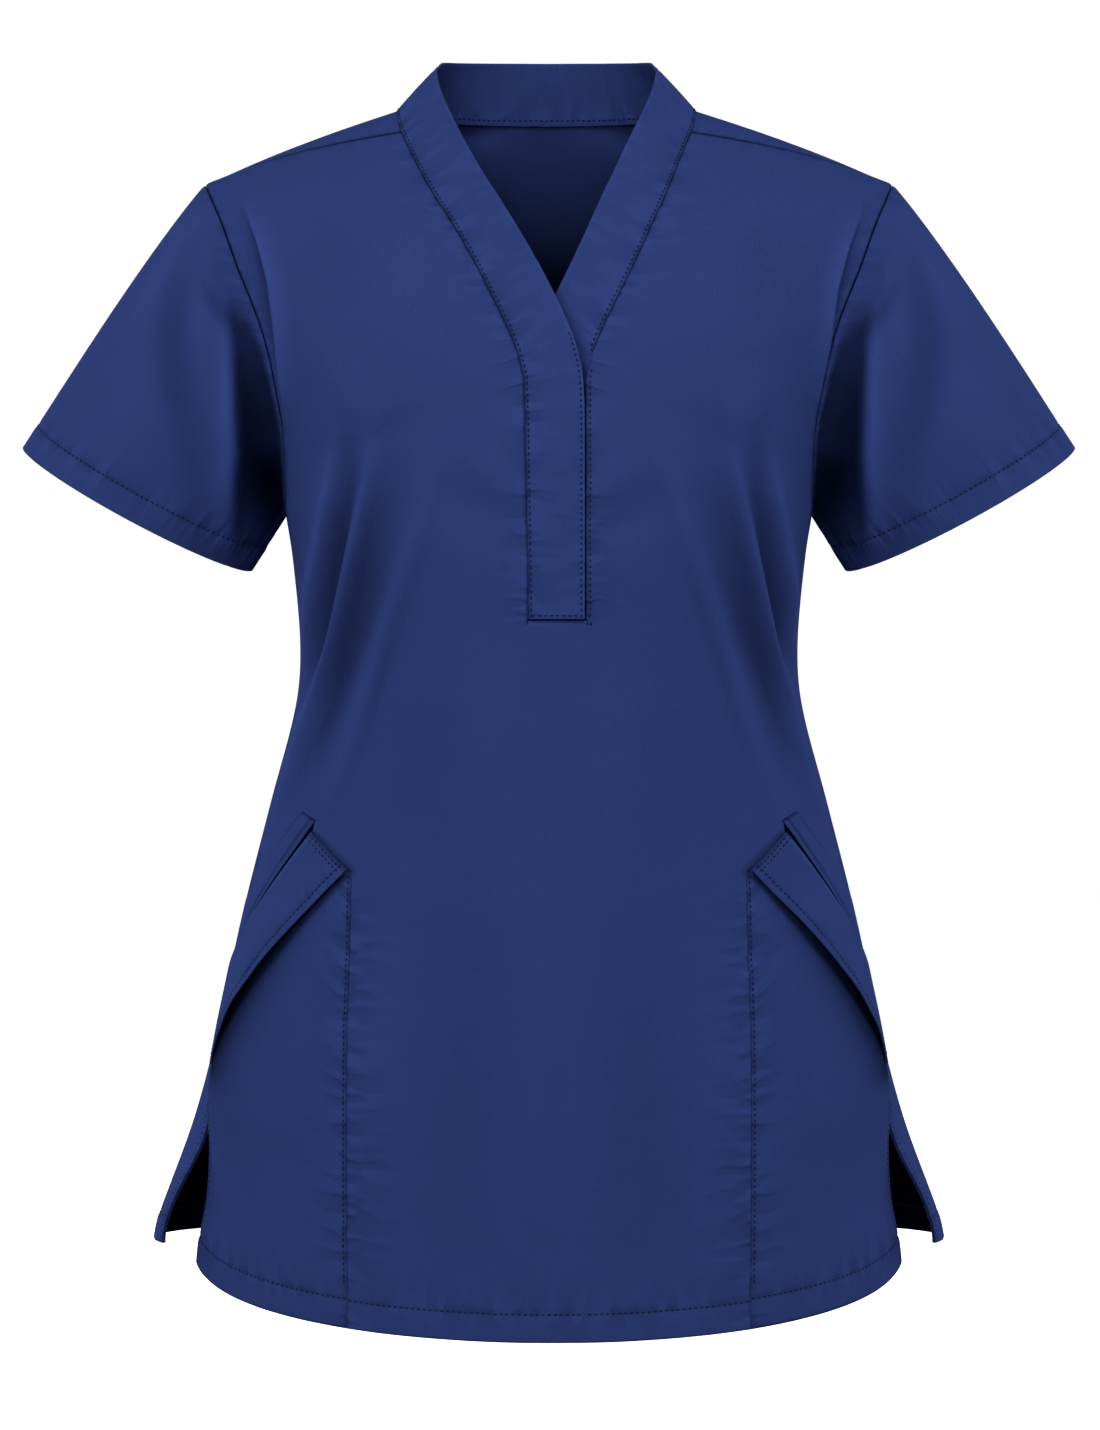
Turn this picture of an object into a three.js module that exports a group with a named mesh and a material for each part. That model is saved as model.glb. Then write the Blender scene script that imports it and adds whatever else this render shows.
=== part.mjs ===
// A women's scrub top, filled out as if worn: a hollow form of cloth walls.
// Millimetres, +Z up, the front faces -Y and the viewer's left is -X. The origin is the middle of
// the neck opening, level with the high points of the shoulders.
import * as THREE from 'three';

// Walls and the gaps between neighbouring pieces
const PANEL_WALL = 1.6;
const BAND_WALL = 1.8;
const SLEEVE_WALL = 1.5;
const POCKET_WALL = 1.2;
const SEAM_GAP = 0.8;
const LAYER_GAP = 0.8;

// How finely each piece is divided
const FRONT_COLUMNS = 12;
const BACK_COLUMNS = 14;
const PLACKET_COLUMNS = 2;
const SLEEVE_COLUMNS = 26;
const SLEEVE_ROWS = 9;
const BAND_STEPS = 3;

const CLOTH = { color: 0x2b3a6d, roughness: 0.82, metalness: 0 };

// Sections of the body below the underarm: the half width of the front and the back, and how far
// the middle of each lies from the side plane
const UNDERARM_Z = -224;
const SECTIONS = [
  { z: -224, frontHalf: 146.4, backHalf: 146.4, frontDepth: 123, backDepth: 103 },
  { z: -252, frontHalf: 142, backHalf: 142, frontDepth: 124, backDepth: 97 },
  { z: -300, frontHalf: 138, backHalf: 138, frontDepth: 121, backDepth: 90 },
  { z: -332, frontHalf: 140.4, backHalf: 140.4, frontDepth: 119, backDepth: 92 },
  { z: -386, frontHalf: 154.4, backHalf: 154.4, frontDepth: 118, backDepth: 102 },
  { z: -440, frontHalf: 168.2, backHalf: 168.2, frontDepth: 119, backDepth: 113 },
  { z: -480, frontHalf: 177.2, backHalf: 177.2, frontDepth: 120, backDepth: 120 },
  { z: -515, frontHalf: 184.6, backHalf: 185.4, frontDepth: 121, backDepth: 126 },
  { z: -548, frontHalf: 191, backHalf: 197, frontDepth: 121.5, backDepth: 129 },
  { z: -575, frontHalf: 193, backHalf: 206, frontDepth: 121.5, backDepth: 131 },
  { z: -602, frontHalf: 194.6, backHalf: 215.4, frontDepth: 121, backDepth: 132 },
  { z: -628, frontHalf: 196, backHalf: 224.4, frontDepth: 120.5, backDepth: 132.5 },
  { z: -661, frontHalf: 197, backHalf: 230, frontDepth: 120, backDepth: 133 },
];
const SQUARENESS = 0.85;

// The side seam lies a little in front of the side plane; below the vent's apex the back's edge
// swings out from the front's
const SIDE_SEAM_ANGLES = [
  { z: -224, degrees: 90 },
  { z: -300, degrees: 84 },
  { z: -400, degrees: 80 },
  { z: -661, degrees: 80 },
];
const VENT_APEX_Z = -550;
const BACK_EDGE_AT_HEM = { z: -628, half: 212 };
const HEM = { frontMiddle: -661.2, frontSide: -639, backMiddle: -645, backSide: -628, rise: 1.8 };

// The shoulder's line is slightly crowned between the neck and the tip
const SHOULDER_CROWN = 2.2;

// The armhole is an upright oval
const ARMHOLE = { z: -133, halfHeight: 91, halfDepth: 48, tipForward: 4 };
const ARMHOLE_WIDTHS = [
  { z: -224, half: 146.4 },
  { z: -202, half: 145 },
  { z: -181, half: 145.2 },
  { z: -163, half: 147.9 },
  { z: -140, half: 152.4 },
  { z: -119, half: 159 },
  { z: -96, half: 168.4 },
  { z: -69, half: 178.6 },
  { z: -42, half: 191 },
];

// The neckband from the placket's foot, up the front, over the shoulder and round to the middle
// of the back: its seam and its free edge, as distances from the neck's middle line
const BAND = [
  { seamHalf: 13.9, seamY: -122.3, seamZ: -288.4, freeHalf: -15.2, freeY: -122.3, freeZ: -288.4 },
  { seamHalf: 14.9, seamY: -122.7, seamZ: -224, freeHalf: -15.2, freeY: -122.7, freeZ: -224 },
  { seamHalf: 15.9, seamY: -117.8, seamZ: -175, freeHalf: -14.9, freeY: -117.6, freeZ: -171 },
  { seamHalf: 17, seamY: -115.6, seamZ: -160, freeHalf: -11.4, freeY: -112.8, freeZ: -147.6 },
  { seamHalf: 23, seamY: -110, seamZ: -141, freeHalf: -3.1, freeY: -104.4, freeZ: -125.4 },
  { seamHalf: 36.6, seamY: -98, seamZ: -111.6, freeHalf: 10.7, freeY: -90, freeZ: -95.8 },
  { seamHalf: 51.9, seamY: -80, seamZ: -79.5, freeHalf: 26.4, freeY: -74, freeZ: -63.5 },
  { seamHalf: 64.6, seamY: -60, seamZ: -53.8, freeHalf: 37.5, freeY: -58, freeZ: -41 },
  { seamHalf: 79.7, seamY: -28, seamZ: -17.3, freeHalf: 55.9, freeY: -35, freeZ: -0.4 },
  { seamHalf: 82.8, seamY: -12, seamZ: -3.8, freeHalf: 60.6, freeY: -21, freeZ: 16.5 },
  { seamHalf: 83.2, seamY: 5, seamZ: 0.6, freeHalf: 60.6, freeY: -2, freeZ: 26.5 },
  { seamHalf: 77, seamY: 23, seamZ: 2.6, freeHalf: 57, freeY: 15, freeZ: 31 },
  { seamHalf: 61, seamY: 40, seamZ: 4.2, freeHalf: 48.5, freeY: 33, freeZ: 35.2 },
  { seamHalf: 34, seamY: 54.5, seamZ: 5.4, freeHalf: 28, freeY: 49, freeZ: 39 },
  { seamHalf: 0, seamY: 60, seamZ: 5.9, freeHalf: 0, freeY: 56.5, freeZ: 40.6 },
];
const BAND_SHOULDER = 8;
const BAND_UNDERARM = 1;
const PLACKET_HEAD = 3;
// The neck's middle line leans towards the viewer's right down to the placket
const LEAN = { top: -1.4, foot: 3.2, fromZ: -20, toZ: -110 };
// The slit's right edge stands clear of the placket's free edge
const SLIT = { rightHalf: 16.3, footZ: -289.2 };
// The under side of the placket passes this far beneath its upper side
const LAP_DEPTH = 2.4;
// The band stands this far off the panels' neck edges
const BAND_GAP = { front: 0.7, back: 1.4 };
const LAP = { fromZ: -92, toZ: -122, seamFromZ: -135, seamToZ: -158, reach: 12.6 };

// Rows of the panels: shares of the way down, and the rows between them
const FRONT_UPPER = { neckline: 0.737, necklineRows: 8, slitRows: 3 };
const FRONT_LOWER = { slitRows: 3, bodyRows: 17 };
const BACK_UPPER = { neckline: 0.383, necklineRows: 6, bodyRows: 8 };
const BACK_LOWER_ROWS = 17;

// How far back the middle of the back lies, by share of the way from the neck seam to the
// underarm's level
const BACK_MIDDLE = [
  { down: 0, y: 60 },
  { down: 0.2, y: 77 },
  { down: 0.45, y: 96 },
  { down: 0.7, y: 104 },
  { down: 1, y: 103 },
];

// The cuff's oval, its middle and the way from there to its upper corner
const CUFF = { x: 229.8, z: -222, halfWidth: 71.8, halfDepth: 46, dip: 8, across: [0.8765, 0.4815] };
const SLEEVE_START = { top: 1.05, front: 0.7, underarm: 1, outward: [0.972, -0.234] };
const SLEEVE_FULLNESS = { front: 5, top: 2.6 };

// The pocket's corners: the angle round the section from the middle of the front, and the height
const POCKET = {
  seamX: 104.8,
  mouthTop: { degrees: 51.5, z: -399.5 },
  mouthSide: { degrees: 79.6, z: -477 },
  weltTop: { degrees: 58, z: -389 },
  weltSide: { degrees: 79.6, z: -437 },
  flapTop: { degrees: 39.4, z: -419 },
  flapSide: { degrees: 79.6, z: -530 },
  mouthGap: 1.6,
  flapStandOff: 5,
  columns: 7,
  rows: 9,
  hemClearance: 1,
};

// The largest folds, given for the viewer's left: ridges are high and troughs are low
const FRONT_FOLDS = [
  { name: 'beside the armhole', x0: -164, z0: -70, x1: -147, z1: -152, width: 9, height: 2.2 },
  { name: 'side ridge', x0: -119, z0: -214, x1: -133, z1: -275, width: 8, height: 2 },
  { name: 'side trough', x0: -111, z0: -212, x1: -127, z1: -290, width: 9, height: -3.4 },
  { name: 'middle ridge', x0: -96, z0: -214, x1: -120, z1: -306, width: 9, height: 2.6 },
  { name: 'middle trough', x0: -79, z0: -212, x1: -107, z1: -306, width: 11, height: -3.6 },
  { name: 'inner ridge', x0: -64, z0: -224, x1: -92, z1: -296, width: 13, height: 2.4 },
  { name: 'bust shade', x0: -58, z0: -212, x1: -14, z1: -250, width: 12, height: -1.2 },
  { name: 'hip drape', x0: -112, z0: -330, x1: -124, z1: -388, width: 14, height: 2 },
  { name: 'skirt trough', x0: -52, z0: -430, x1: -64, z1: -650, width: 26, height: -2 },
];
const BACK_FOLDS = [
  { name: 'shoulder blade ridge', x0: -118, z0: -96, x1: -128, z1: -210, width: 14, height: 2 },
  { name: 'waist trough', x0: -96, z0: -236, x1: -108, z1: -330, width: 15, height: -3 },
  { name: 'waist ridge', x0: -70, z0: -250, x1: -84, z1: -360, width: 16, height: 2.4 },
  { name: 'middle waist trough', x0: -34, z0: -262, x1: -40, z1: -350, width: 16, height: -2.2 },
  { name: 'skirt ridge', x0: -84, z0: -440, x1: -104, z1: -640, width: 26, height: 3 },
  { name: 'skirt trough', x0: -36, z0: -420, x1: -44, z1: -640, width: 26, height: -2.6 },
];
const OTHER_SIDE_SHARE = 0.9;

const { degToRad, lerp, clamp, smoothstep } = THREE.MathUtils;

// A smooth curve through one column of a table, read at a value of another column
function column(table, key, name) {
  const rows = [...table].sort((a, b) => a[key] - b[key]);
  const slope = (i) => {
    const before = rows[Math.max(i - 1, 0)];
    const after = rows[Math.min(i + 1, rows.length - 1)];
    return (after[name] - before[name]) / (after[key] - before[key]);
  };
  return (at) => {
    const last = rows.length - 2;
    const found = rows.findIndex((row) => row[key] >= at) - 1;
    const i = clamp(found < -1 ? last : found, 0, last);
    const span = rows[i + 1][key] - rows[i][key];
    const s = clamp((at - rows[i][key]) / span, 0, 1);
    const rise = rows[i + 1][name] - rows[i][name];
    const bend = (1 - s) * (slope(i) * span - rise) - s * (slope(i + 1) * span - rise);
    return rows[i][name] + rise * s + s * (1 - s) * bend;
  };
}

const frontHalf = column(SECTIONS, 'z', 'frontHalf');
const backHalf = column(SECTIONS, 'z', 'backHalf');
const frontDepth = column(SECTIONS, 'z', 'frontDepth');
const backDepth = column(SECTIONS, 'z', 'backDepth');
const seamDegrees = column(SIDE_SEAM_ANGLES, 'z', 'degrees');
const armholeHalf = column(ARMHOLE_WIDTHS, 'z', 'half');
const backMiddleDepth = column(BACK_MIDDLE, 'down', 'y');
const STATIONS = BAND.map((row, station) => ({ station, ...row }));
const band = Object.fromEntries(
  Object.keys(BAND[0]).map((name) => [name, column(STATIONS, 'station', name)]),
);

const lean = (z) => lerp(LEAN.top, LEAN.foot, smoothstep(LEAN.fromZ - z, 0, LEAN.fromZ - LEAN.toZ));
const rounding = (angle) => Math.sign(Math.cos(angle)) * Math.abs(Math.cos(angle)) ** SQUARENESS;

// How far the folds of a table lift the cloth at a place of the panel
function foldHeight(folds, x, z) {
  const side = x > 0 ? OTHER_SIDE_SHARE : 1;
  const here = new THREE.Vector2(-Math.abs(x), z);
  let height = 0;
  for (const fold of folds) {
    const start = new THREE.Vector2(fold.x0, fold.z0);
    const way = new THREE.Vector2(fold.x1, fold.z1).sub(start);
    const along = clamp(here.clone().sub(start).dot(way) / way.lengthSq(), 0, 1);
    const apart = here.distanceTo(start.clone().addScaledVector(way, along));
    const taper = 0.35 + 0.65 * Math.sin(Math.PI * along);
    height += side * fold.height * taper * Math.exp(-((apart / fold.width) ** 2));
  }
  return height;
}

// Moves a point of a section outwards, level, by an amount
function outward(point, angle, half, depth, amount) {
  const way = new THREE.Vector3(Math.sin(angle) / half, -Math.cos(angle) / depth, 0).normalize();
  return point.addScaledVector(way, amount);
}

// Folds die out before the side seam
const awayFromSeam = (angle) => smoothstep(Math.abs(Math.cos(angle)), 0.18, 0.42);

// A point of the front below the underarm, at an angle from the middle, lifted by an amount
function frontBelow(angle, z, lift = 0) {
  const half = frontHalf(z);
  const depth = frontDepth(z);
  const point = new THREE.Vector3(half * Math.sin(angle), -depth * rounding(angle), z);
  const height = foldHeight(FRONT_FOLDS, point.x, z) * awayFromSeam(angle);
  return outward(point, angle, half, depth, height + lift);
}

function sideSeamAngle(z) {
  return degToRad(seamDegrees(z));
}

// A point of the back below the underarm, at an angle from the middle of the back
function backBelow(side, share, z) {
  const seam = sideSeamAngle(z);
  const angle = share * (Math.PI - seam);
  const half = backHalf(z);
  const depth = angle > Math.PI / 2 ? frontDepth(z) : backDepth(z);
  const swing = smoothstep(VENT_APEX_Z - z, 0, VENT_APEX_Z - BACK_EDGE_AT_HEM.z);
  const edge = lerp(frontHalf(z) * Math.sin(seam), BACK_EDGE_AT_HEM.half, swing);
  const pull = (half * Math.sin(seam) - edge) * smoothstep(share, 0.8, 1);
  const x = side * (half * Math.sin(angle) - pull);
  const point = new THREE.Vector3(x, depth * rounding(angle), z);
  const height = foldHeight(BACK_FOLDS, x, z) * awayFromSeam(angle);
  return outward(point, Math.PI - side * angle, half, depth, height);
}

// A point of the armhole's oval: from the shoulder tip, forwards and down for a positive angle
function armhole(side, angle) {
  const z = ARMHOLE.z + ARMHOLE.halfHeight * Math.cos(angle);
  const forward = ARMHOLE.halfDepth * Math.sin(angle) + ARMHOLE.tipForward * (1 + Math.cos(angle)) / 2;
  return new THREE.Vector3(side * armholeHalf(z), -forward, z);
}

// A point of the neck seam, where the band meets a panel
function neckSeam(side, station) {
  const z = band.seamZ(station);
  const onSlit = side > 0 && station < PLACKET_HEAD + 1;
  const half = Math.max(band.seamHalf(station), onSlit ? SLIT.rightHalf : 0);
  return new THREE.Vector3(lean(z) + side * half, band.seamY(station), z);
}

// A point of a row above the underarm, between the neck and the armhole
function between(inner, outer, share, down, folds) {
  const side = Math.sign(outer.x);
  const end = degToRad(lerp(52, 90, down));
  const start = Math.asin(clamp(side * inner.x / Math.abs(outer.x), -1, 1) * Math.sin(end));
  const angle = lerp(start, end, share);
  const across = (Math.sin(angle) - Math.sin(start)) / (Math.sin(end) - Math.sin(start));
  const forward = (rounding(angle) - rounding(end)) / (rounding(start) - rounding(end));
  const crown = SHOULDER_CROWN * Math.sin(Math.PI * share) * (1 - down) ** 2;
  const x = lerp(inner.x, outer.x, across);
  const y = lerp(outer.y, inner.y, forward);
  const z = lerp(inner.z, outer.z, share) + crown;
  const depth = Math.abs(inner.y) + 1;
  const turned = folds === BACK_FOLDS ? Math.PI - side * angle : side * angle;
  const height = foldHeight(folds, x, z) * smoothstep(1 - share, 0, 0.16);
  return outward(new THREE.Vector3(x, y, z), turned, Math.abs(outer.x), depth, height);
}

function frontAbove(side, share, down) {
  const { neckline } = FRONT_UPPER;
  const station = down < neckline
    ? lerp(BAND_SHOULDER, PLACKET_HEAD, down / neckline)
    : lerp(PLACKET_HEAD, BAND_UNDERARM, (down - neckline) / (1 - neckline));
  return between(neckSeam(side, station), armhole(side, Math.PI * down), share, down, FRONT_FOLDS);
}

function backAbove(side, share, down) {
  const { neckline } = BACK_UPPER;
  const last = BAND.length - 1;
  const below = (down - neckline) / (1 - neckline);
  const lowered = lerp(BAND[last].seamZ, UNDERARM_Z, below);
  const middle = new THREE.Vector3(LEAN.top * (1 - clamp(below, 0, 1)), backMiddleDepth(below), lowered);
  const neck = neckSeam(side, lerp(BAND_SHOULDER, last, down / neckline));
  const inner = down < neckline ? neck : middle;
  return between(inner, armhole(side, -Math.PI * down), share, down, BACK_FOLDS);
}

const steps = (from, to, count) => Array.from({ length: count + 1 }, (_, i) => lerp(from, to, i / count));
const joined = (...lists) => lists.flatMap((list, i) => (i ? list.slice(1) : list));

// A grid of points, a row for each of the first values and a point for each of the second
function grid(rows, columns, pointAt) {
  return rows.map((row) => columns.map((place) => pointAt(row, place)));
}

// Moves an edge of a grid back towards the next line of points
function drawBack(edge, next, amount) {
  edge.forEach((point, i) => {
    const way = next[i].clone().sub(point);
    point.addScaledVector(way.normalize(), amount);
  });
}

const columnOf = (rows, i) => rows.map((row) => row.at(i));

// Turns grids of points into one wall with an outer skin, an inner skin and closed edges
function wallGeometry(grids, thickness) {
  const points = [];
  const known = new Map();
  const place = (point) => {
    const key = point.toArray().map((value) => Math.round(value * 1000)).join();
    if (!known.has(key)) {
      known.set(key, points.length);
      points.push(point);
    }
    return known.get(key);
  };
  const quads = grids.flatMap((rows) => rows.slice(1).flatMap((row, r) => row.slice(1).map((_, c) => [
    place(rows[r][c]), place(rows[r + 1][c]), place(rows[r + 1][c + 1]), place(rows[r][c + 1]),
  ])));

  const normals = points.map(() => new THREE.Vector3());
  const edges = new Set();
  for (const quad of quads) {
    const [a, b, c, d] = quad.map((index) => points[index]);
    const normal = c.clone().sub(a).cross(d.clone().sub(b));
    quad.forEach((index, i) => {
      normals[index].add(normal);
      edges.add(`${index},${quad[(i + 1) % 4]}`);
    });
  }
  normals.forEach((normal) => normal.normalize());
  const skinAt = (lift) => points.map((point, i) => point.clone().addScaledVector(normals[i], lift));
  const skin = [...skinAt(thickness / 2), ...skinAt(-thickness / 2)];
  const under = points.length;

  const faces = [];
  const addQuad = (a, b, c, d) => {
    const shortAC = skin[a].distanceTo(skin[c]) <= skin[b].distanceTo(skin[d]);
    faces.push(...(shortAC ? [a, b, c, a, c, d] : [a, b, d, b, c, d]));
  };
  for (const [a, b, c, d] of quads) {
    addQuad(a, b, c, d);
    addQuad(under + d, under + c, under + b, under + a);
  }
  for (const edge of edges) {
    const [a, b] = edge.split(',').map(Number);
    if (!edges.has(`${b},${a}`)) addQuad(b, a, under + a, under + b);
  }
  const geometry = new THREE.BufferGeometry();
  geometry.setAttribute('position', new THREE.Float32BufferAttribute(skin.flatMap((p) => p.toArray()), 3));
  geometry.setIndex(faces);
  geometry.computeVertexNormals();
  return geometry;
}

const garment = new THREE.Group();

function addPiece(name, grids, thickness) {
  const mesh = new THREE.Mesh(wallGeometry(grids, thickness), new THREE.MeshStandardMaterial(CLOTH));
  mesh.name = name;
  garment.add(mesh);
}

const SIDES = [
  { name: 'left', side: -1 },
  { name: 'right', side: 1 },
];

// Runs a grid's columns so that its faces look outwards
const facing = (rows, turned) => (turned ? rows.map((row) => [...row].reverse()) : rows);

// The front: two halves beside the neck and the slit, and the strip below the slit
const slitShare = (SLIT.footZ - UNDERARM_Z) / (HEM.frontMiddle - UNDERARM_Z);
const frontUpperRows = joined(
  steps(0, FRONT_UPPER.neckline, FRONT_UPPER.necklineRows),
  steps(FRONT_UPPER.neckline, 1, FRONT_UPPER.slitRows),
);
const frontLowerRows = joined(
  steps(0, slitShare, FRONT_LOWER.slitRows),
  steps(slitShare, 1, FRONT_LOWER.bodyRows),
);
const slitEdge = (side, down) => {
  const station = lerp(BAND_UNDERARM, 0, clamp(down / slitShare, 0, 1));
  return neckSeam(side, station).x;
};
const frontHem = (share) => lerp(HEM.frontMiddle, HEM.frontSide, share ** HEM.rise);

function frontHalfGrid(side) {
  const shares = steps(0, 1, FRONT_COLUMNS);
  const above = grid(frontUpperRows, shares, (down, share) => frontAbove(side, share, down));
  const below = grid(frontLowerRows, shares, (down, share) => {
    const z = lerp(UNDERARM_Z, frontHem(share), down);
    const start = Math.asin(slitEdge(side, down) / frontHalf(z));
    return frontBelow(lerp(start, side * sideSeamAngle(z), share), z);
  });
  drawBack(above[0], above[1], SEAM_GAP / 2);
  drawBack(columnOf(below, -1), columnOf(below, -2), SEAM_GAP / 2);
  return [...above.slice(0, -1), ...below];
}

function placketFootGrid() {
  const rows = frontLowerRows.slice(FRONT_LOWER.slitRows);
  return grid(rows, steps(0, 1, PLACKET_COLUMNS), (down, share) => {
    const z = lerp(UNDERARM_Z, HEM.frontMiddle, down);
    const x = lerp(slitEdge(-1, down), slitEdge(1, down), share);
    return frontBelow(Math.asin(x / frontHalf(z)), z);
  });
}

addPiece('front', [
  facing(frontHalfGrid(-1), true),
  placketFootGrid(),
  facing(frontHalfGrid(1), false),
], PANEL_WALL);

// The back: two halves that meet down the middle below the neck seam
function backHalfGrid(side) {
  const shares = steps(0, 1, BACK_COLUMNS);
  const upperRows = joined(
    steps(0, BACK_UPPER.neckline, BACK_UPPER.necklineRows),
    steps(BACK_UPPER.neckline, 1, BACK_UPPER.bodyRows),
  );
  const above = grid(upperRows, shares, (down, share) => backAbove(side, share, down));
  const below = grid(steps(0, 1, BACK_LOWER_ROWS), shares, (down, share) => {
    const hem = lerp(HEM.backMiddle, HEM.backSide, share ** HEM.rise);
    return backBelow(side, share, lerp(UNDERARM_Z, hem, down));
  });
  drawBack(above[0], above[1], SEAM_GAP / 2);
  drawBack(columnOf(below, -1), columnOf(below, -2), SEAM_GAP / 2);
  return [...above.slice(0, -1), ...below];
}

addPiece('back', [
  facing(backHalfGrid(-1), false),
  facing(backHalfGrid(1), true),
], PANEL_WALL);

// A sleeve: a tube from just outside the armhole to the cuff's slanted oval
function sleeveGrid(side) {
  const [outX, outZ] = SLEEVE_START.outward;
  const [acrossX, acrossZ] = CUFF.across;
  const pointAt = (share, angle) => {
    const low = ((1 - Math.cos(angle)) / 2) ** 2;
    const ahead = Math.max(Math.sin(angle), 0);
    const clear = SLEEVE_START.top + SLEEVE_START.front * ahead + SLEEVE_START.underarm * low;
    const start = armhole(side, angle);
    start.x += side * outX * clear;
    start.z += outZ * clear;
    const along = CUFF.halfWidth * Math.cos(angle);
    const drop = CUFF.dip * Math.sin(angle);
    const cuff = new THREE.Vector3(
      side * (CUFF.x + acrossX * along + acrossZ * drop),
      -CUFF.halfDepth * Math.sin(angle),
      CUFF.z + acrossZ * along - acrossX * drop,
    );
    const point = start.lerp(cuff, share);
    point.y -= SLEEVE_FULLNESS.front * Math.sin(Math.PI * share ** 0.7) * Math.sin(angle);
    const top = SLEEVE_FULLNESS.top * Math.sin(Math.PI * share ** 0.7) * Math.max(Math.cos(angle), 0);
    point.x += side * acrossX * top;
    point.z += acrossZ * top;
    return point;
  };
  return grid(steps(0, 1, SLEEVE_ROWS), steps(0, 2 * Math.PI, SLEEVE_COLUMNS), pointAt);
}

for (const { name, side } of SIDES) {
  addPiece(`sleeve_${name}`, [facing(sleeveGrid(side), side > 0)], SLEEVE_WALL);
}

// The neckband: a strip from the placket's foot round the neck and down beneath the placket
function bandRow(side, station) {
  const seam = neckSeam(side, station);
  const freeZ = band.freeZ(station);
  const reach = side > 0 ? LAP.reach : Infinity;
  const freeHalf = Math.max(band.freeHalf(station), -reach);
  const free = new THREE.Vector3(lean(freeZ) + side * freeHalf, band.freeY(station), freeZ);
  const round = smoothstep(station, BAND_SHOULDER - 1.5, BAND_SHOULDER + 1);
  const clear = lerp(BAND_GAP.front, BAND_GAP.back, round);
  seam.addScaledVector(free.clone().sub(seam).normalize(), clear);
  if (side > 0) {
    const head = smoothstep(-freeZ, -LAP.fromZ, -LAP.toZ);
    const slit = smoothstep(-seam.z, -LAP.seamFromZ, -LAP.seamToZ);
    free.y += LAP_DEPTH * head;
    seam.y += LAP_DEPTH * slit;
  }
  const middle = seam.clone().lerp(free, 0.5);
  if (side > 0) middle.y += LAP_DEPTH * 0.3 * smoothstep(-middle.z, -LAP.fromZ, -LAP.toZ);
  return [seam, middle, free];
}

const bandStations = steps(0, BAND.length - 1, (BAND.length - 1) * BAND_STEPS);
const bandGrid = [
  ...bandStations.map((station) => bandRow(-1, station)),
  ...[...bandStations].reverse().slice(1).map((station) => bandRow(1, station)),
];
addPiece('neckband', [bandGrid], BAND_WALL);

// The pocket's pieces lie on the front, each lifted clear of the one below
const patchLift = PANEL_WALL / 2 + LAYER_GAP + POCKET_WALL / 2;
const flapLift = patchLift + LAYER_GAP + POCKET_WALL;

// A strip between two slanted lines of the front
function stripGrid(side, upper, lower, columns, rows, liftAt) {
  return grid(steps(0, 1, rows), steps(0, 1, columns), (down, share) => {
    const cornerwise = (name) => lerp(
      lerp(upper[0][name], upper[1][name], share),
      lerp(lower[0][name], lower[1][name], share),
      down,
    );
    const angle = side * degToRad(cornerwise('degrees'));
    return frontBelow(angle, cornerwise('z'), liftAt(down, share));
  });
}

// The pocket's patch: its top follows the flap's end and then the mouth, its foot the hem
function pocketGrid(side) {
  const { mouthTop, mouthSide, flapTop, columns, rows, hemClearance } = POCKET;
  const turn = 2 / columns;
  return grid(steps(0, 1, rows), steps(0, 1, columns), (down, share) => {
    const [from, to, part] = share < turn
      ? [flapTop, mouthTop, share / turn]
      : [mouthTop, mouthSide, (share - turn) / (1 - turn)];
    const topZ = lerp(from.z, to.z, part);
    const inner = Math.asin(POCKET.seamX / frontHalf(topZ));
    const topAngle = degToRad(lerp(from.degrees, to.degrees, part));
    const topShare = (topAngle - inner) / (sideSeamAngle(topZ) - inner);
    const across = lerp(topShare, share, Math.min(down * 3, 1));
    const hem = frontHem(lerp(0.4, 1, share)) + hemClearance;
    const z = lerp(topZ, hem, down);
    const seamSide = Math.asin(POCKET.seamX / frontHalf(z));
    const edge = sideSeamAngle(z) - degToRad(0.4);
    return frontBelow(side * lerp(seamSide, edge, across), z, patchLift);
  });
}

for (const { name, side } of SIDES) {
  const { mouthTop, mouthSide, weltTop, weltSide, flapTop, flapSide, mouthGap, flapStandOff } = POCKET;
  const up = (corner, amount) => ({ degrees: corner.degrees, z: corner.z + amount });
  const weltFoot = [up(mouthTop, mouthGap), up(mouthSide, mouthGap)];
  const welt = stripGrid(side, [weltTop, weltSide], weltFoot, 6, 2, () => patchLift);
  const flap = stripGrid(side, [mouthTop, mouthSide], [flapTop, flapSide], 7, 4,
    (down, share) => flapLift + flapStandOff * smoothstep(down, 0.1, 1) * (1 - share ** 4));
  addPiece(`pocket_welt_${name}`, [facing(welt, side < 0)], POCKET_WALL);
  addPiece(`pocket_${name}`, [facing(pocketGrid(side), side < 0)], POCKET_WALL);
  addPiece(`pocket_flap_${name}`, [facing(flap, side < 0)], POCKET_WALL);
}

export default garment;
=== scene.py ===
"""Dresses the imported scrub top: cloth shells on the solids' forms, hems, creases and sewing."""

import logging
import math
from dataclasses import dataclass, field, replace
from enum import Enum
from typing import Callable, Sequence

import bmesh
import bpy
import numpy as np
from mathutils import Matrix, Vector


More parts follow.
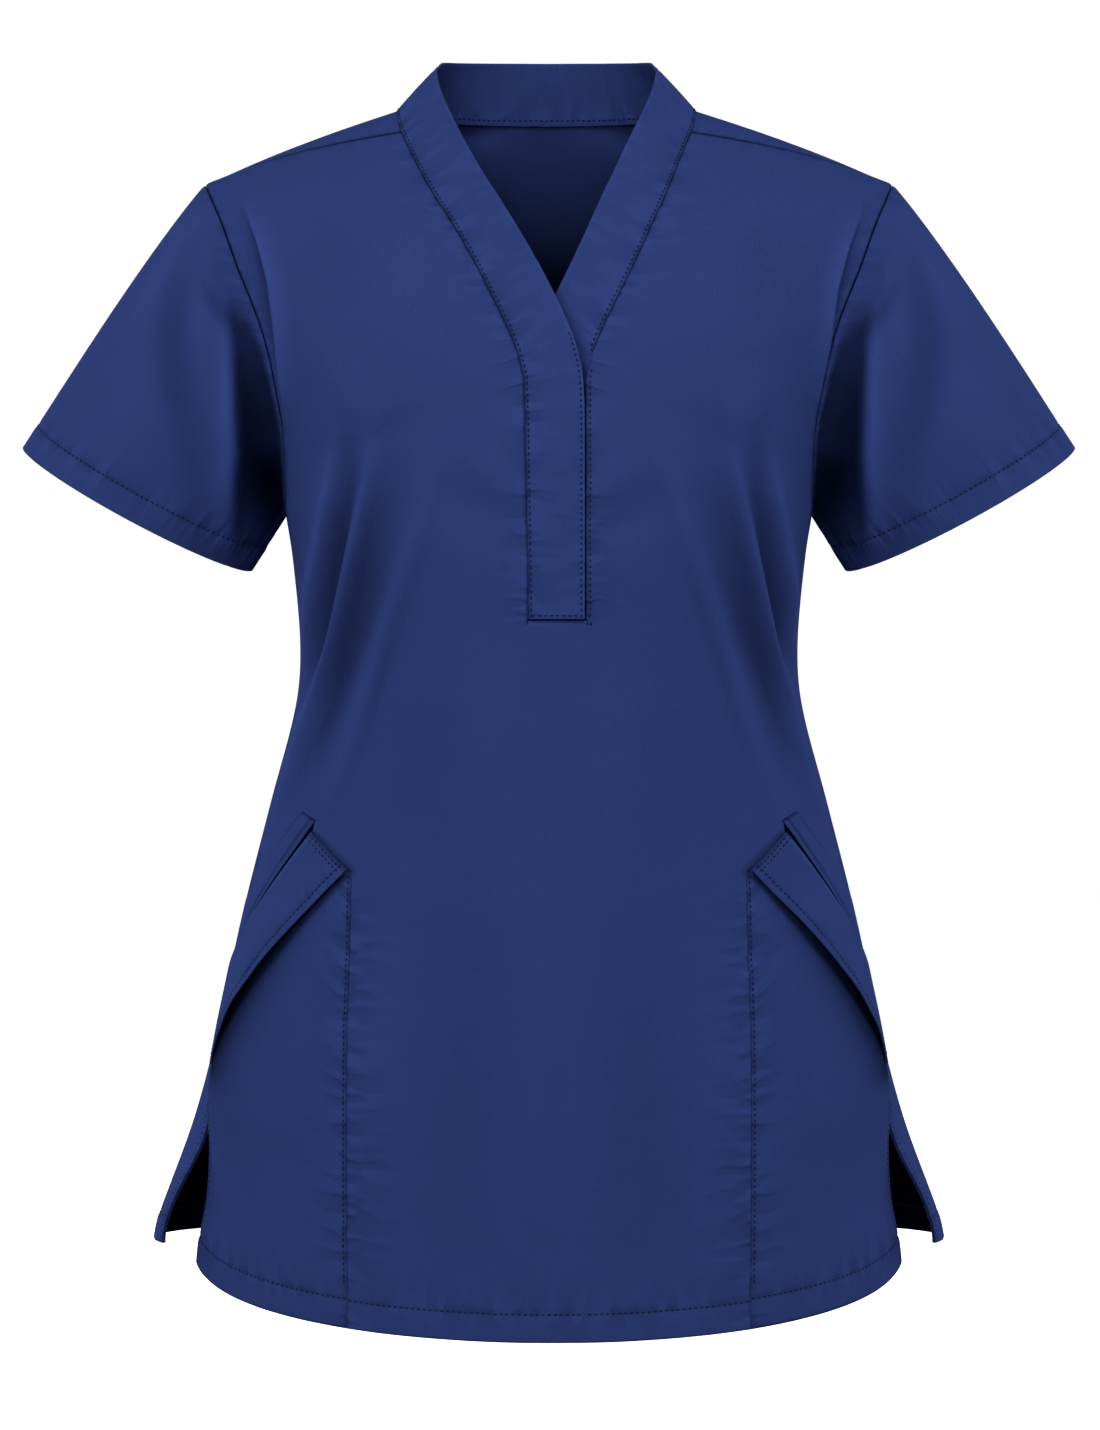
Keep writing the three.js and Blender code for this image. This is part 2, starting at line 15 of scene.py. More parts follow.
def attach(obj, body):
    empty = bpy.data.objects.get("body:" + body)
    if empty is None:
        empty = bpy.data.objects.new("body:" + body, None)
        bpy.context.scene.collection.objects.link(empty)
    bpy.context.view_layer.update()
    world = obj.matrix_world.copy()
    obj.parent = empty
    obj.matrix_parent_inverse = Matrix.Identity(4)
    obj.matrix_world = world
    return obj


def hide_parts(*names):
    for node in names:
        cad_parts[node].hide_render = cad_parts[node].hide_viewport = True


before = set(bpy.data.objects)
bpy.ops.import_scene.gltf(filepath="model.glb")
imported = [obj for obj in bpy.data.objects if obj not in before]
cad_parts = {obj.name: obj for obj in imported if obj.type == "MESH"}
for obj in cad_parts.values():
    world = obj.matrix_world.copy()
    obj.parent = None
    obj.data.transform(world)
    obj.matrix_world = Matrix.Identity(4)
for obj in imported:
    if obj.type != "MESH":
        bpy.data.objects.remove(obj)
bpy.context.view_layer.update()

LOG = logging.getLogger("scrub_top")
MM = 0.001
ROOT = "root"
# How deep a turned layer lies inside, and how far it reaches past its stitching, in millimetres.
INNER_LAYER = 0.9
TURNING_SPARE = 1.5
# Points of neighbouring patches that lie this close become one, in metres.
WELD = 0.00002

Array = np.ndarray
Pair = tuple[float, float]
Material = bpy.types.Material
Socket = bpy.types.NodeSocket
NodeInputs = dict[str | int, Socket | float | tuple[float, ...]]


class Side(Enum):
    """The viewer's left and right side of the top."""

    LEFT = -1
    RIGHT = 1

    @property
    def label(self) -> str:
        """The side's name in lower case, as the nodes use it."""
        return self.name.lower()


def smoothstep(value: Array, low: float, high: float) -> Array:
    """Rises smoothly from 0 at low to 1 at high."""
    share = np.clip((np.asarray(value, float) - low) / (high - low), 0, 1)
    return share * share * (3 - 2 * share)


def lerp(start: Array, end: Array, share: Array) -> Array:
    """Blends two values by a share."""
    return start + (end - start) * share


@dataclass(frozen=True)
class Profile:
    """A smooth curve through the rows of a table, by named columns."""

    names: tuple[str, ...]
    rows: tuple[tuple[float, ...], ...]

    def read(self, name: str, at: Array) -> Array:
        """Reads one column at values of the first column.

        Args:
            name: The column to read.
            at: Values of the table's first column.

        Returns:
            The column's values there.
        """
        table = np.array(sorted(self.rows))
        keys = table[:, 0]
        values = table[:, self.names.index(name)]
        before = np.maximum(np.arange(len(keys)) - 1, 0)
        after = np.minimum(np.arange(len(keys)) + 1, len(keys) - 1)
        slopes = (values[after] - values[before]) / (keys[after] - keys[before])
        at = np.asarray(at, float)
        i = np.clip(np.searchsorted(keys, at) - 1, 0, len(keys) - 2)
        span = keys[i + 1] - keys[i]
        share = np.clip((at - keys[i]) / span, 0, 1)
        rise = values[i + 1] - values[i]
        bend = (1 - share) * (slopes[i] * span - rise) - share * (slopes[i + 1] * span - rise)
        return values[i] + rise * share + share * (1 - share) * bend


@dataclass(frozen=True)
class Crease:
    """A crease of the cloth along a path seen from the front or back, in millimetres, with painted
    shade in its hollow and painted light on its ridge.
    """

    path: tuple[Pair, ...]
    width: float
    height: float
    sharp: bool = False
    # How much of the lift is also painted into the colour, as shade in a hollow and light on a
    # ridge.
    painted_shade_share: float = 0.3

    def nearest(self, x: Array, z: Array) -> tuple[Array, Array]:
        """Signed distances from the path and shares of the way along it.

        Args:
            x: Distances from the middle, negative on the crease's own side.
            z: Heights.

        Returns:
            The distances, positive towards the middle of the top, and the shares.
        """
        stops = np.array(self.path, float)
        legs = np.linalg.norm(np.diff(stops, axis=0), axis=1)
        starts = np.concatenate([[0], np.cumsum(legs)])
        apart = np.full(np.shape(x), np.inf)
        share = np.zeros(np.shape(x))
        for start, end, leg, done in zip(stops[:-1], stops[1:], legs, starts):
            way = (end - start) / leg
            ahead, up = x - start[0], z - start[1]
            along = np.clip(ahead * way[0] + up * way[1], 0, leg)
            gap = np.hypot(ahead - way[0] * along, up - way[1] * along)
            gap = gap * np.where(way[0] * up - way[1] * ahead < 0, -1, 1)
            nearer = np.abs(gap) < np.abs(apart)
            share = np.where(nearer, (done + along) / starts[-1], share)
            apart = np.where(nearer, gap, apart)
        return apart, share

    def _lift(self, apart: Array, taper: Array) -> Array:
        """The lift by distance from the path, positive on a ridge and negative in a trough."""
        if self.sharp:
            profile = np.exp(0.5 - np.sqrt((apart / self.width) ** 2 + 0.25))
        else:
            profile = np.exp(-((apart / self.width) ** 2))
        return self.height * taper * profile

    def _crest_highlight(self, apart: Array) -> Array:
        """The painted highlight that the crease adds along its crest, by distance from the path."""
        return 0 * apart

    def read(self, x: Array, z: Array) -> Array:
        """The crease's lift and painted shade at places of the view.

        Args:
            x: Distances from the middle, negative on the crease's own side.
            z: Heights.

        Returns:
            The lift and the painted shade as two channels; the shade is negative in a hollow and
            positive where light is painted on a ridge.
        """
        apart, share = self.nearest(x, z)
        taper = np.sin(np.pi * np.clip(0.03 + 0.94 * share, 0, 1))
        lift = self._lift(apart, taper)
        return np.stack([lift, self.painted_shade_share * lift + taper * self._crest_highlight(apart)], -1)


@dataclass(frozen=True)
class Pleat(Crease):
    """A drawn crease: a narrow crest, and a steep wall on one side down to a broad hollow, with
    painted shade down the wall and in the hollow and a painted highlight on the crest.
    """

    painted_shade_share: float = 1.0
    depth: float = 6.0
    wall: float = 8.0
    hollow: float = 14.0
    outwards: bool = False
    # The strength and width of the light line painted along the crest.
    crest_highlight: float = 4.0
    crest_width: float = 1.6

    def _lift(self, apart: Array, taper: Array) -> Array:
        """The lift by distance from the path, positive on the crest and negative in the hollow."""
        apart = -apart if self.outwards else apart
        crest = self.height * np.exp(-((apart / self.width) ** 2))
        fall = self.height - (self.height + self.depth) * smoothstep(apart, 0, self.wall)
        rest = -self.depth * np.exp(-(((apart - self.wall) / self.hollow) ** 2))
        inside = np.where(apart < self.wall, fall, rest)
        return taper * np.where(apart < 0, crest, inside)

    def _crest_highlight(self, apart: Array) -> Array:
        """A fine painted highlight along the crest."""
        return self.crest_highlight * np.exp(-((apart / self.crest_width) ** 2))


@dataclass(frozen=True)
class CreaseSet:
    """Creases given for the viewer's left, and how they differ on the viewer's right."""

    creases: tuple[Crease, ...]
    right_share: float = 0.92
    right_shift: Pair = (1.5, -3.0)

    def read(self, x: Array, z: Array) -> Array:
        """The summed lift and painted shade of all the creases at places of the view.

        Args:
            x: Distances from the middle, negative on the viewer's left.
            z: Heights.

        Returns:
            The lift and the painted shade, as two channels.
        """
        right = x > 0
        here_x = np.where(right, -x + self.right_shift[0], x)
        here_z = np.where(right, z - self.right_shift[1], z)
        total = sum(crease.read(here_x, here_z) for crease in self.creases)
        return total * np.where(right, self.right_share, 1)[..., None]


def ripple(along: Array, pitch: float, seed: float) -> Array:
    """An uneven wave along a line, from -1 to 1.

    Args:
        along: Places along the line, in millimetres.
        pitch: The usual length of a wave.
        seed: A number that makes one line's waves differ from another's.

    Returns:
        The wave's height at each place.
    """
    turn = 2 * np.pi * along / pitch
    wave = np.sin(turn + seed) + 0.7 * np.sin(0.618 * turn + 2.3 * seed)
    wave = wave + 0.5 * np.sin(1.47 * turn + 4.1 * seed)
    return wave / 2.2


class Patch:
    """A structured sheet of points in millimetres, rows by columns, with outward normals."""

    def __init__(self, points: Array, turned: bool = False) -> None:
        """Keeps the points and their painted shade.

        Args:
            points: An array of rows by columns by 3, or by 4 where the last value is the shade that
                the creases paint on the cloth.
            turned: Whether rows crossed with columns point inwards.
        """
        self.points = points[..., :3]
        self.tone = points[..., 3] if points.shape[-1] == 4 else np.zeros(points.shape[:2])
        self.pucker = np.zeros(points.shape[:2])
        self.turned = turned
        self.down = self._lengths(0)
        self.across = self._lengths(1)

    def _lengths(self, axis: int) -> Array:
        """The distance of each point along its line.

        Args:
            axis: 0 for lines down the columns and 1 for lines along the rows.

        Returns:
            The distances from the line's first point.
        """
        steps = np.linalg.norm(np.diff(self.points, axis=axis), axis=2)
        total = np.cumsum(steps, axis=axis)
        start = np.zeros_like(total[:1] if axis == 0 else total[:, :1])
        return np.concatenate([start, total], axis=axis)

    @property
    def to_hem(self) -> Array:
        """The distance of each point from its column's last row."""
        return self.down[-1] - self.down

    @property
    def to_side(self) -> Array:
        """The distance of each point from its row's last column."""
        return self.across[:, -1:] - self.across

    def rows_below(self, z: float) -> Array:
        """The rows whose last column lies below a height."""
        return np.flatnonzero(self.points[:, -1, 2] < z)

    @property
    def normals(self) -> Array:
        """Unit normals that point away from the body."""
        rows = np.gradient(self.points, axis=0)
        columns = np.gradient(self.points, axis=1)
        normal = np.cross(columns, rows)
        length = np.linalg.norm(normal, axis=2, keepdims=True)
        normal = normal / np.maximum(length, 1e-9)
        return normal if self.turned else -normal

    def lifted(self, height: Array | float) -> "Patch":
        """A copy moved along its normals.

        Args:
            height: How far each point moves.

        Returns:
            The moved patch, with the same painted shade and puckers.
        """
        amount = np.broadcast_to(height, self.points.shape[:2])[..., None]
        moved = self.points + self.normals * amount
        copy = Patch(np.concatenate([moved, self.tone[..., None]], -1), self.turned)
        copy.pucker = self.pucker
        return copy

    def part(self, first_row: int, first_column: int = 0) -> "Patch":
        """The part of the patch from a row and a column on.

        Args:
            first_row: Its first row.
            first_column: Its first column.

        Returns:
            The part.
        """
        points = self.points[first_row:, first_column:]
        tone = self.tone[first_row:, first_column:, None]
        copy = Patch(np.concatenate([points, tone], -1), self.turned)
        copy.pucker = self.pucker[first_row:, first_column:]
        return copy

    def area(self) -> float:
        """The patch's area in square metres."""
        p = self.points
        cross = np.cross(p[1:, 1:] - p[:-1, :-1], p[1:, :-1] - p[:-1, 1:])
        return float(np.linalg.norm(cross, axis=2).sum() / 2) * MM * MM

    def sample(self, rows: Array, columns: Array) -> tuple[Array, Array]:
        """Reads points and normals at fractional rows and columns.

        Args:
            rows: Fractional row numbers.
            columns: Fractional column numbers.

        Returns:
            The points and the unit normals there.
        """
        last_row, last_column = (n - 1 for n in self.points.shape[:2])
        rows = np.clip(rows, 0, last_row)
        columns = np.clip(columns, 0, last_column)
        r = np.minimum(rows.astype(int), last_row - 1)
        c = np.minimum(columns.astype(int), last_column - 1)
        fr, fc = (rows - r)[:, None], (columns - c)[:, None]
        found = []
        for grid in (self.points, self.normals):
            top = grid[r, c] * (1 - fc) + grid[r, c + 1] * fc
            foot = grid[r + 1, c] * (1 - fc) + grid[r + 1, c + 1] * fc
            found.append(top * (1 - fr) + foot * fr)
        return found[0], found[1]

    def row_at_distance(self, distance: float, from_end: bool) -> Array:
        """The fractional row that lies a distance from the first or last row, by column."""
        return self._place(self.down, distance, from_end)

    def column_at_distance(self, distance: float, from_end: bool) -> Array:
        """The fractional column that lies a distance from the first or last one, by row."""
        return self._place(self.across.T, distance, from_end)

    @staticmethod
    def _place(lengths: Array, distance: float, from_end: bool) -> Array:
        """Fractional places along lines of lengths.

        Args:
            lengths: The lengths, a line in each column.
            distance: The distance from the line's first or last point.
            from_end: Whether it is from the last one.

        Returns:
            A place for each line.
        """
        places = []
        for line in lengths.T:
            goal = line[-1] - distance if from_end else distance
            places.append(np.interp(goal, line, np.arange(len(line))))
        return np.array(places)


def spread(*stops: tuple[float, int]) -> Array:
    """Places between stops, each reached in its own number of steps.

    Args:
        stops: Pairs of a place and the steps from the stop before it; the first has 0 steps.

    Returns:
        The places in order, each once.
    """
    places = [np.array([stops[0][0]])]
    for (start, _), (end, count) in zip(stops, stops[1:]):
        places.append(np.linspace(start, end, count + 1)[1:])
    return np.concatenate(places)


@dataclass(frozen=True)
class TopForm:
    """The filled-out form of the top in millimetres, as the solids have it."""

    front_creases: CreaseSet
    back_creases: CreaseSet
    sleeve_front_creases: CreaseSet
    sleeve_back_creases: CreaseSet
    sections: Profile = Profile(
        ("z", "front_half", "back_half", "front_depth", "back_depth"),
        (
            (-224, 146.4, 146.4, 123, 103),
            (-252, 142, 142, 124, 97),
            (-300, 138, 138, 121, 90),
            (-332, 140.4, 140.4, 119, 92),
            (-386, 154.4, 154.4, 118, 102),
            (-440, 168.2, 168.2, 119, 113),
            (-480, 177.2, 177.2, 120, 120),
            (-515, 184.6, 185.4, 121, 126),
            (-548, 189.5, 197, 121.5, 129),
            (-575, 188.4, 206, 121.5, 131),
            (-602, 189.8, 215.4, 121, 132),
            (-628, 194.4, 224.4, 120.5, 132.5),
            (-661, 197, 230, 120, 133),
        ),
    )
    seam_angles: Profile = Profile(
        ("z", "degrees"), ((-224, 90), (-300, 84), (-400, 80), (-661, 80))
    )
    armhole_widths: Profile = Profile(
        ("z", "half"),
        (
            (-224, 146.4),
            (-202, 145),
            (-181, 145.2),
            (-163, 147.9),
            (-140, 152.4),
            (-119, 159),
            (-96, 168.4),
            (-69, 178.6),
            (-42, 191),
        ),
    )
    band: Profile = Profile(
        ("station", "seam_half", "seam_y", "seam_z", "free_half", "free_y", "free_z"),
        (
            (0, 13.9, -122.3, -288.4, -15.2, -122.3, -288.4),
            (1, 14.9, -122.7, -224, -15.2, -122.7, -224),
            (2, 15.9, -117.8, -175, -14.9, -117.6, -171),
            (3, 17, -115.6, -160, -11.4, -112.8, -147.6),
            (4, 23, -110, -141, -3.1, -104.4, -125.4),
            (5, 36.6, -98, -111.6, 10.7, -90, -95.8),
            (6, 51.9, -80, -79.5, 26.4, -74, -63.5),
            (7, 64.6, -60, -53.8, 37.5, -58, -41),
            (8, 79.7, -28, -17.3, 55.9, -35, -0.4),
            (9, 82.8, -12, -3.8, 60.6, -21, 16.5),
            (10, 83.2, 5, 0.6, 60.6, -2, 26.5),
            (11, 77, 23, 2.6, 57, 15, 31),
            (12, 61, 40, 4.2, 48.5, 33, 35.2),
            (13, 34, 54.5, 5.4, 28, 49, 39),
            (14, 0, 60, 5.9, 0, 56.5, 40.6),
        ),
    )
    back_middle: Profile = Profile(
        ("down", "y"), ((0, 60), (0.2, 77), (0.45, 96), (0.7, 104), (1, 103))
    )
    underarm_z: float = -224
    squareness: float = 0.85
    shoulder_crown: float = 2.2
    armhole_z: float = -133
    armhole_height: float = 91
    armhole_depth: float = 48
    tip_forward: float = 4
    shoulder_station: float = 8
    underarm_station: float = 1
    head_station: float = 3
    last_station: float = 14
    slit_right_half: float = 16.3
    slit_foot_z: float = -289.2
    lean_top: float = -1.4
    lean_foot: float = 3.2
    lean_from_z: float = -20
    lean_to_z: float = -110
    vent_apex_z: float = -550
    back_edge_z: float = -628
    back_edge_half: float = 212
    hem_front_middle: float = -661.2
    hem_front_side: float = -639
    hem_back_middle: float = -645
    hem_back_side: float = -628
    hem_rise: float = 1.8
    front_neckline: float = 0.737
    back_neckline: float = 0.383
    cuff_x: float = 229.8
    cuff_z: float = -222
    cuff_half: float = 71.8
    cuff_depth: float = 46
    cuff_dip: float = 8
    cuff_across: Pair = (0.8765, 0.4815)
    sleeve_front_fullness: float = 5
    sleeve_top_fullness: float = 2.6
    sleeve_arch: float = 0.7
    sleeve_face: Pair = (0.05, 0.35)
    armhole_fade: float = 0.07
    yoke_fade: float = 0.05
    yoke_degrees: Pair = (52, 90)
    side_fade: Pair = (0.18, 0.36)
    vent_swing_from: float = 0.8

    def rounding(self, angle: Array) -> Array:
        """How far round a section lies towards the front or back at an angle."""
        return np.sign(np.cos(angle)) * np.abs(np.cos(angle)) ** self.squareness

    def lean(self, z: Array) -> Array:
        """How far the neck's middle line leans to the viewer's right at a height."""
        share = smoothstep(self.lean_from_z - z, 0, self.lean_from_z - self.lean_to_z)
        return lerp(self.lean_top, self.lean_foot, share)

    def seam_angle(self, z: Array) -> Array:
        """The side seam's angle from the middle of the front, in radians."""
        return np.radians(self.seam_angles.read("degrees", z))

    def front_hem(self, share: Array) -> Array:
        """The front hem's height from its middle to its side."""
        return lerp(self.hem_front_middle, self.hem_front_side, np.asarray(share) ** self.hem_rise)

    def back_hem(self, share: Array) -> Array:
        """The back hem's height from its middle to its side."""
        return lerp(self.hem_back_middle, self.hem_back_side, np.asarray(share) ** self.hem_rise)

    @staticmethod
    def _outward(point: Array, angle: Array, half: Array, depth: Array, crease: Array) -> Array:
        """Moves points of a section outwards, level.

        Args:
            point: The points.
            angle: Their angles round the section.
            half: The section's half widths.
            depth: Its depths.
            crease: The lift and the painted shade of the creases there.

        Returns:
            The points, with the painted shade as a fourth value.
        """
        way = np.stack([np.sin(angle) / half, -np.cos(angle) / depth, np.zeros_like(angle)], -1)
        way = way / np.linalg.norm(way, axis=-1, keepdims=True)
        return np.concatenate([point + way * crease[..., :1], crease[..., 1:]], -1)

    def _fade_at_side(self, angle: Array) -> Array:
        """The creases' strength at an angle; they die out before the side seam."""
        return smoothstep(np.abs(np.cos(angle)), *self.side_fade)[..., None]

    def front_below(self, angle: Array, z: Array) -> Array:
        """Points of the front below the underarm.

        Args:
            angle: Angles from the middle of the front, in radians, positive to the right.
            z: Heights.

        Returns:
            The points.
        """
        half = self.sections.read("front_half", z)
        depth = self.sections.read("front_depth", z)
        x = half * np.sin(angle)
        point = np.stack([x, -depth * self.rounding(angle), z], -1)
        crease = self.front_creases.read(x, z) * self._fade_at_side(angle)
        return self._outward(point, angle, half, depth, crease)

    def back_below(self, side: int, share: Array, z: Array) -> Array:
        """Points of the back below the underarm.

        Args:
            side: -1 for the viewer's left and 1 for the right.
            share: Shares of the way from the middle of the back to the seam.
            z: Heights.

        Returns:
            The points.
        """
        seam = self.seam_angle(z)
        angle = share * (np.pi - seam)
        half = self.sections.read("back_half", z)
        front_depth = self.sections.read("front_depth", z)
        back_depth = self.sections.read("back_depth", z)
        depth = np.where(angle > np.pi / 2, front_depth, back_depth)
        swing = smoothstep(self.vent_apex_z - z, 0, self.vent_apex_z - self.back_edge_z)
        seam_half = self.sections.read("front_half", z) * np.sin(seam)
        edge = lerp(seam_half, self.back_edge_half, swing)
        pull = (half * np.sin(seam) - edge) * smoothstep(share, self.vent_swing_from, 1)
        x = side * (half * np.sin(angle) - pull)
        point = np.stack([x, depth * self.rounding(angle), z], -1)
        crease = self.back_creases.read(x, z) * self._fade_at_side(angle)
        return self._outward(point, np.pi - side * angle, half, depth, crease)

    def armhole(self, side: int, angle: Array) -> Array:
        """Points of the armhole.

        Args:
            side: -1 for the viewer's left armhole and 1 for the right.
            angle: Angles from the shoulder tip, positive forwards and down.

        Returns:
            The points.
        """
        z = self.armhole_z + self.armhole_height * np.cos(angle)
        tip = self.tip_forward * (1 + np.cos(angle)) / 2
        forward = self.armhole_depth * np.sin(angle) + tip
        return np.stack([side * self.armhole_widths.read("half", z), -forward, z], -1)

    def neck_seam(self, side: int, station: Array) -> Array:
        """Points where the neckband meets a panel.

        Args:
            side: -1 for the viewer's left and 1 for the right.
            station: Stations along the band, from the placket's foot to the back's middle.

        Returns:
            The points.
        """
        z = self.band.read("seam_z", station)
        half = self.band.read("seam_half", station)
        if side > 0:
            on_slit = np.asarray(station) < self.head_station + 1
            half = np.where(on_slit, np.maximum(half, self.slit_right_half), half)
        return np.stack([self.lean(z) + side * half, self.band.read("seam_y", station), z], -1)

    def _between(self, inner: Array, outer: Array, share: Array, down: Array, back: bool) -> Array:
        """Points of rows above the underarm, between the neck and the armhole.

        Args:
            inner: The rows' ends at the neck.
            outer: Their ends at the armhole.
            share: Shares of the way from the neck to the armhole.
            down: Shares of the way from the shoulder to the underarm.
            back: Whether the rows lie on the back.

        Returns:
            The points, with the painted shade as a fourth value.
        """
        side = np.sign(outer[..., 0])
        reach = np.abs(outer[..., 0])
        end = np.radians(lerp(*self.yoke_degrees, down))
        start = np.arcsin(np.clip(side * inner[..., 0] / reach, -1, 1) * np.sin(end))
        angle = lerp(start, end, share)
        across = (np.sin(angle) - np.sin(start)) / (np.sin(end) - np.sin(start))
        spent = self.rounding(angle) - self.rounding(end)
        forward = spent / (self.rounding(start) - self.rounding(end))
        crown = self.shoulder_crown * np.sin(np.pi * share) * (1 - down) ** 2
        x = lerp(inner[..., 0], outer[..., 0], across)
        y = lerp(outer[..., 1], inner[..., 1], forward)
        z = lerp(inner[..., 2], outer[..., 2], share) + crown
        depth = np.abs(inner[..., 1]) + 1
        turned = np.pi - side * angle if back else side * angle
        creases = self.back_creases if back else self.front_creases
        crease = creases.read(x, z) * smoothstep(1 - share, 0, self.yoke_fade)[..., None]
        return self._outward(np.stack([x, y, z], -1), turned, reach, depth, crease)

    def front_above(self, side: int, share: Array, down: Array) -> Array:
        """Points of the front above the underarm.

        Args:
            side: -1 for the viewer's left and 1 for the right.
            share: Shares of the way from the neck to the armhole.
            down: Shares of the way from the shoulder to the underarm.

        Returns:
            The points, with the painted shade as a fourth value.
        """
        below = (down - self.front_neckline) / (1 - self.front_neckline)
        upper = lerp(self.shoulder_station, self.head_station, down / self.front_neckline)
        lower = lerp(self.head_station, self.underarm_station, below)
        station = np.where(down < self.front_neckline, upper, lower)
        inner = self.neck_seam(side, station)
        return self._between(inner, self.armhole(side, np.pi * down), share, down, False)

    def back_above(self, side: int, share: Array, down: Array) -> Array:
        """Points of the back above the underarm.

        Args:
            side: -1 for the viewer's left and 1 for the right.
            share: Shares of the way from the neck to the armhole.
            down: Shares of the way from the shoulder to the underarm.

        Returns:
            The points, with the tone as a fourth value.
        """
        below = np.clip((down - self.back_neckline) / (1 - self.back_neckline), 0, 1)
        station = lerp(self.shoulder_station, self.last_station, down / self.back_neckline)
        neck = self.neck_seam(side, np.minimum(station, self.last_station))
        seam_z = self.band.read("seam_z", self.last_station)
        middle = np.stack(
            [
                self.lean_top * (1 - below),
                self.back_middle.read("y", below),
                lerp(seam_z, self.underarm_z, below),
            ],
            -1,
        )
        inner = np.where((down < self.back_neckline)[..., None], neck, middle)
        return self._between(inner, self.armhole(side, -np.pi * down), share, down, True)

    def sleeve(self, side: int, share: Array, angle: Array) -> Array:
        """Points of a sleeve.

        Args:
            side: -1 for the viewer's left sleeve and 1 for the right.
            share: Shares of the way from the armhole to the cuff.
            angle: Angles round the sleeve from the shoulder line, forwards.

        Returns:
            The points.
        """
        across_x, across_z = self.cuff_across
        start = self.armhole(side, angle)
        along = self.cuff_half * np.cos(angle)
        drop = self.cuff_dip * np.sin(angle)
        cuff = np.stack(
            [
                side * (self.cuff_x + across_x * along + across_z * drop),
                -self.cuff_depth * np.sin(angle),
                self.cuff_z + across_z * along - across_x * drop,
            ],
            -1,
        )
        point = lerp(start, cuff, share[..., None])
        arch = np.sin(np.pi * np.clip(share, 0, 1) ** self.sleeve_arch)
        top = self.sleeve_top_fullness * arch * np.maximum(np.cos(angle), 0)
        x, z = point[..., 0] + side * across_x * top, point[..., 2] + across_z * top
        front = smoothstep(np.sin(angle), *self.sleeve_face)
        back = smoothstep(-np.sin(angle), *self.sleeve_face)
        crease = self.sleeve_front_creases.read(x, z) * front[..., None]
        crease = crease + self.sleeve_back_creases.read(x, z) * back[..., None]
        crease = crease * smoothstep(share, 0.0, self.armhole_fade)[..., None]
        full = self.sleeve_front_fullness * arch * np.sin(angle)
        y = point[..., 1] - full - crease[..., 0] * np.sign(np.sin(angle))
        return np.stack([x, y, z, crease[..., 1]], -1)


# The creases of the viewer's left side, by distance from the middle and height in millimetres; each
# also paints shade into its hollow and light onto its crest.
FRONT_CREASES = CreaseSet(
    (
        Pleat(
            ((-165, -60), (-155.5, -84), (-149.5, -104), (-146, -127), (-142.5, -176)),
            6, 2.8, depth=3.6, wall=3.4, hollow=4.5, outwards=True, painted_shade_share=2.0,
        ),
        Pleat(
            ((-114, -190), (-119, -222), (-126, -254), (-136, -300), (-146, -344)),
            6, 2.4, depth=9.5, wall=8, hollow=9, painted_shade_share=1.15, crest_highlight=2.5,
        ),
        Pleat(
            ((-93, -198), (-97, -214), (-104, -242), (-117, -286), (-127, -314), (-151, -392)),
            5, 3.2, depth=9.5, wall=8.5, hollow=16, painted_shade_share=0.85, crest_highlight=3.8,
        ),
        Pleat(
            ((-56, -200), (-69, -242), (-84, -286), (-97, -330), (-112, -372), (-127, -408)),
            9, 3.6, depth=2.2, wall=9, hollow=12, painted_shade_share=0.25, crest_highlight=0.6, crest_width=3.5,
        ),
        Crease(((-60, -212), (-36, -231), (-12, -250)), 13, -2.8),
        Crease(((-40, -206), (-20, -222)), 9, 1.4),
        Crease(((-134, -336), (-126, -396)), 5, 2.4, True),
        Crease(((-146, -352), (-136, -394)), 5, 2.2, True),
        Crease(((-60, -330), (-72, -420)), 24, -3.4),
        Crease(((-30, -300), (-50, -420)), 20, 2.2),
        Crease(((-40, -440), (-56, -650)), 24, -3.8),
        Crease(((-84, -450), (-88, -640)), 18, 2.8),
        Crease(((-8, -420), (-14, -640)), 20, 2.0),
        Crease(((-116, -60), (-122, -128)), 20, -3.0),
        Crease(((-70, -80), (-96, -150)), 18, 2.4),
        Crease(((-108, -150), (-98, -196)), 14, 2.2),
        Crease(((-118, -452), (-88, -470)), 5, -1.0, painted_shade_share=1.5),
        Crease(((-100, -566), (-80, -576)), 5, -0.9, painted_shade_share=1.5),
        Crease(((-92, -700), (-126, -664)), 12, -1.6),
    ),
    right_shift=(4.5, -3.0),
)
BACK_CREASES = CreaseSet(
    (
        Pleat(
            ((-152, -72), (-143, -108), (-139, -160)),
            6, 2.6, depth=3.2, wall=5, hollow=6, outwards=True,
        ),
        Pleat(
            ((-131, -200), (-127, -250), (-133, -310), (-144, -372)),
            7, 2.2, depth=5.0, wall=7, hollow=10, painted_shade_share=0.8, crest_highlight=2.0,
        ),
        Pleat(
            ((-90, -186), (-86, -262), (-98, -352), (-118, -440)),
            9, 3.0, depth=6.0, wall=9, hollow=15, painted_shade_share=0.6, crest_highlight=1.8,
        ),
        Crease(((-60, -214), (-56, -300), (-74, -430)), 14, 2.8),
        Pleat(
            ((-32, -226), (-27, -306), (-38, -410), (-46, -476)),
            10, 2.2, depth=3.6, wall=13, hollow=16, painted_shade_share=0.6, crest_highlight=1.2,
        ),
        Crease(((-104, -30), (-96, -92), (-72, -150)), 16, 3.0),
        Crease(((-36, -2), (-28, -44)), 8, -2.4),
        Crease(((-60, -8), (-58, -52)), 9, 1.8),
        Crease(((-96, -400), (-116, -520), (-126, -690)), 20, 5.6, painted_shade_share=0.6),
        Crease(((-60, -420), (-74, -560), (-80, -700)), 17, -5.6, painted_shade_share=0.8),
        Crease(((-24, -430), (-30, -540), (-34, -700)), 19, 4.2, painted_shade_share=0.6),
        Crease(((-160, -470), (-176, -560), (-182, -650)), 16, -3.6, painted_shade_share=0.7),
    ),
    right_share=0.85,
    right_shift=(4.0, 9.0),
)
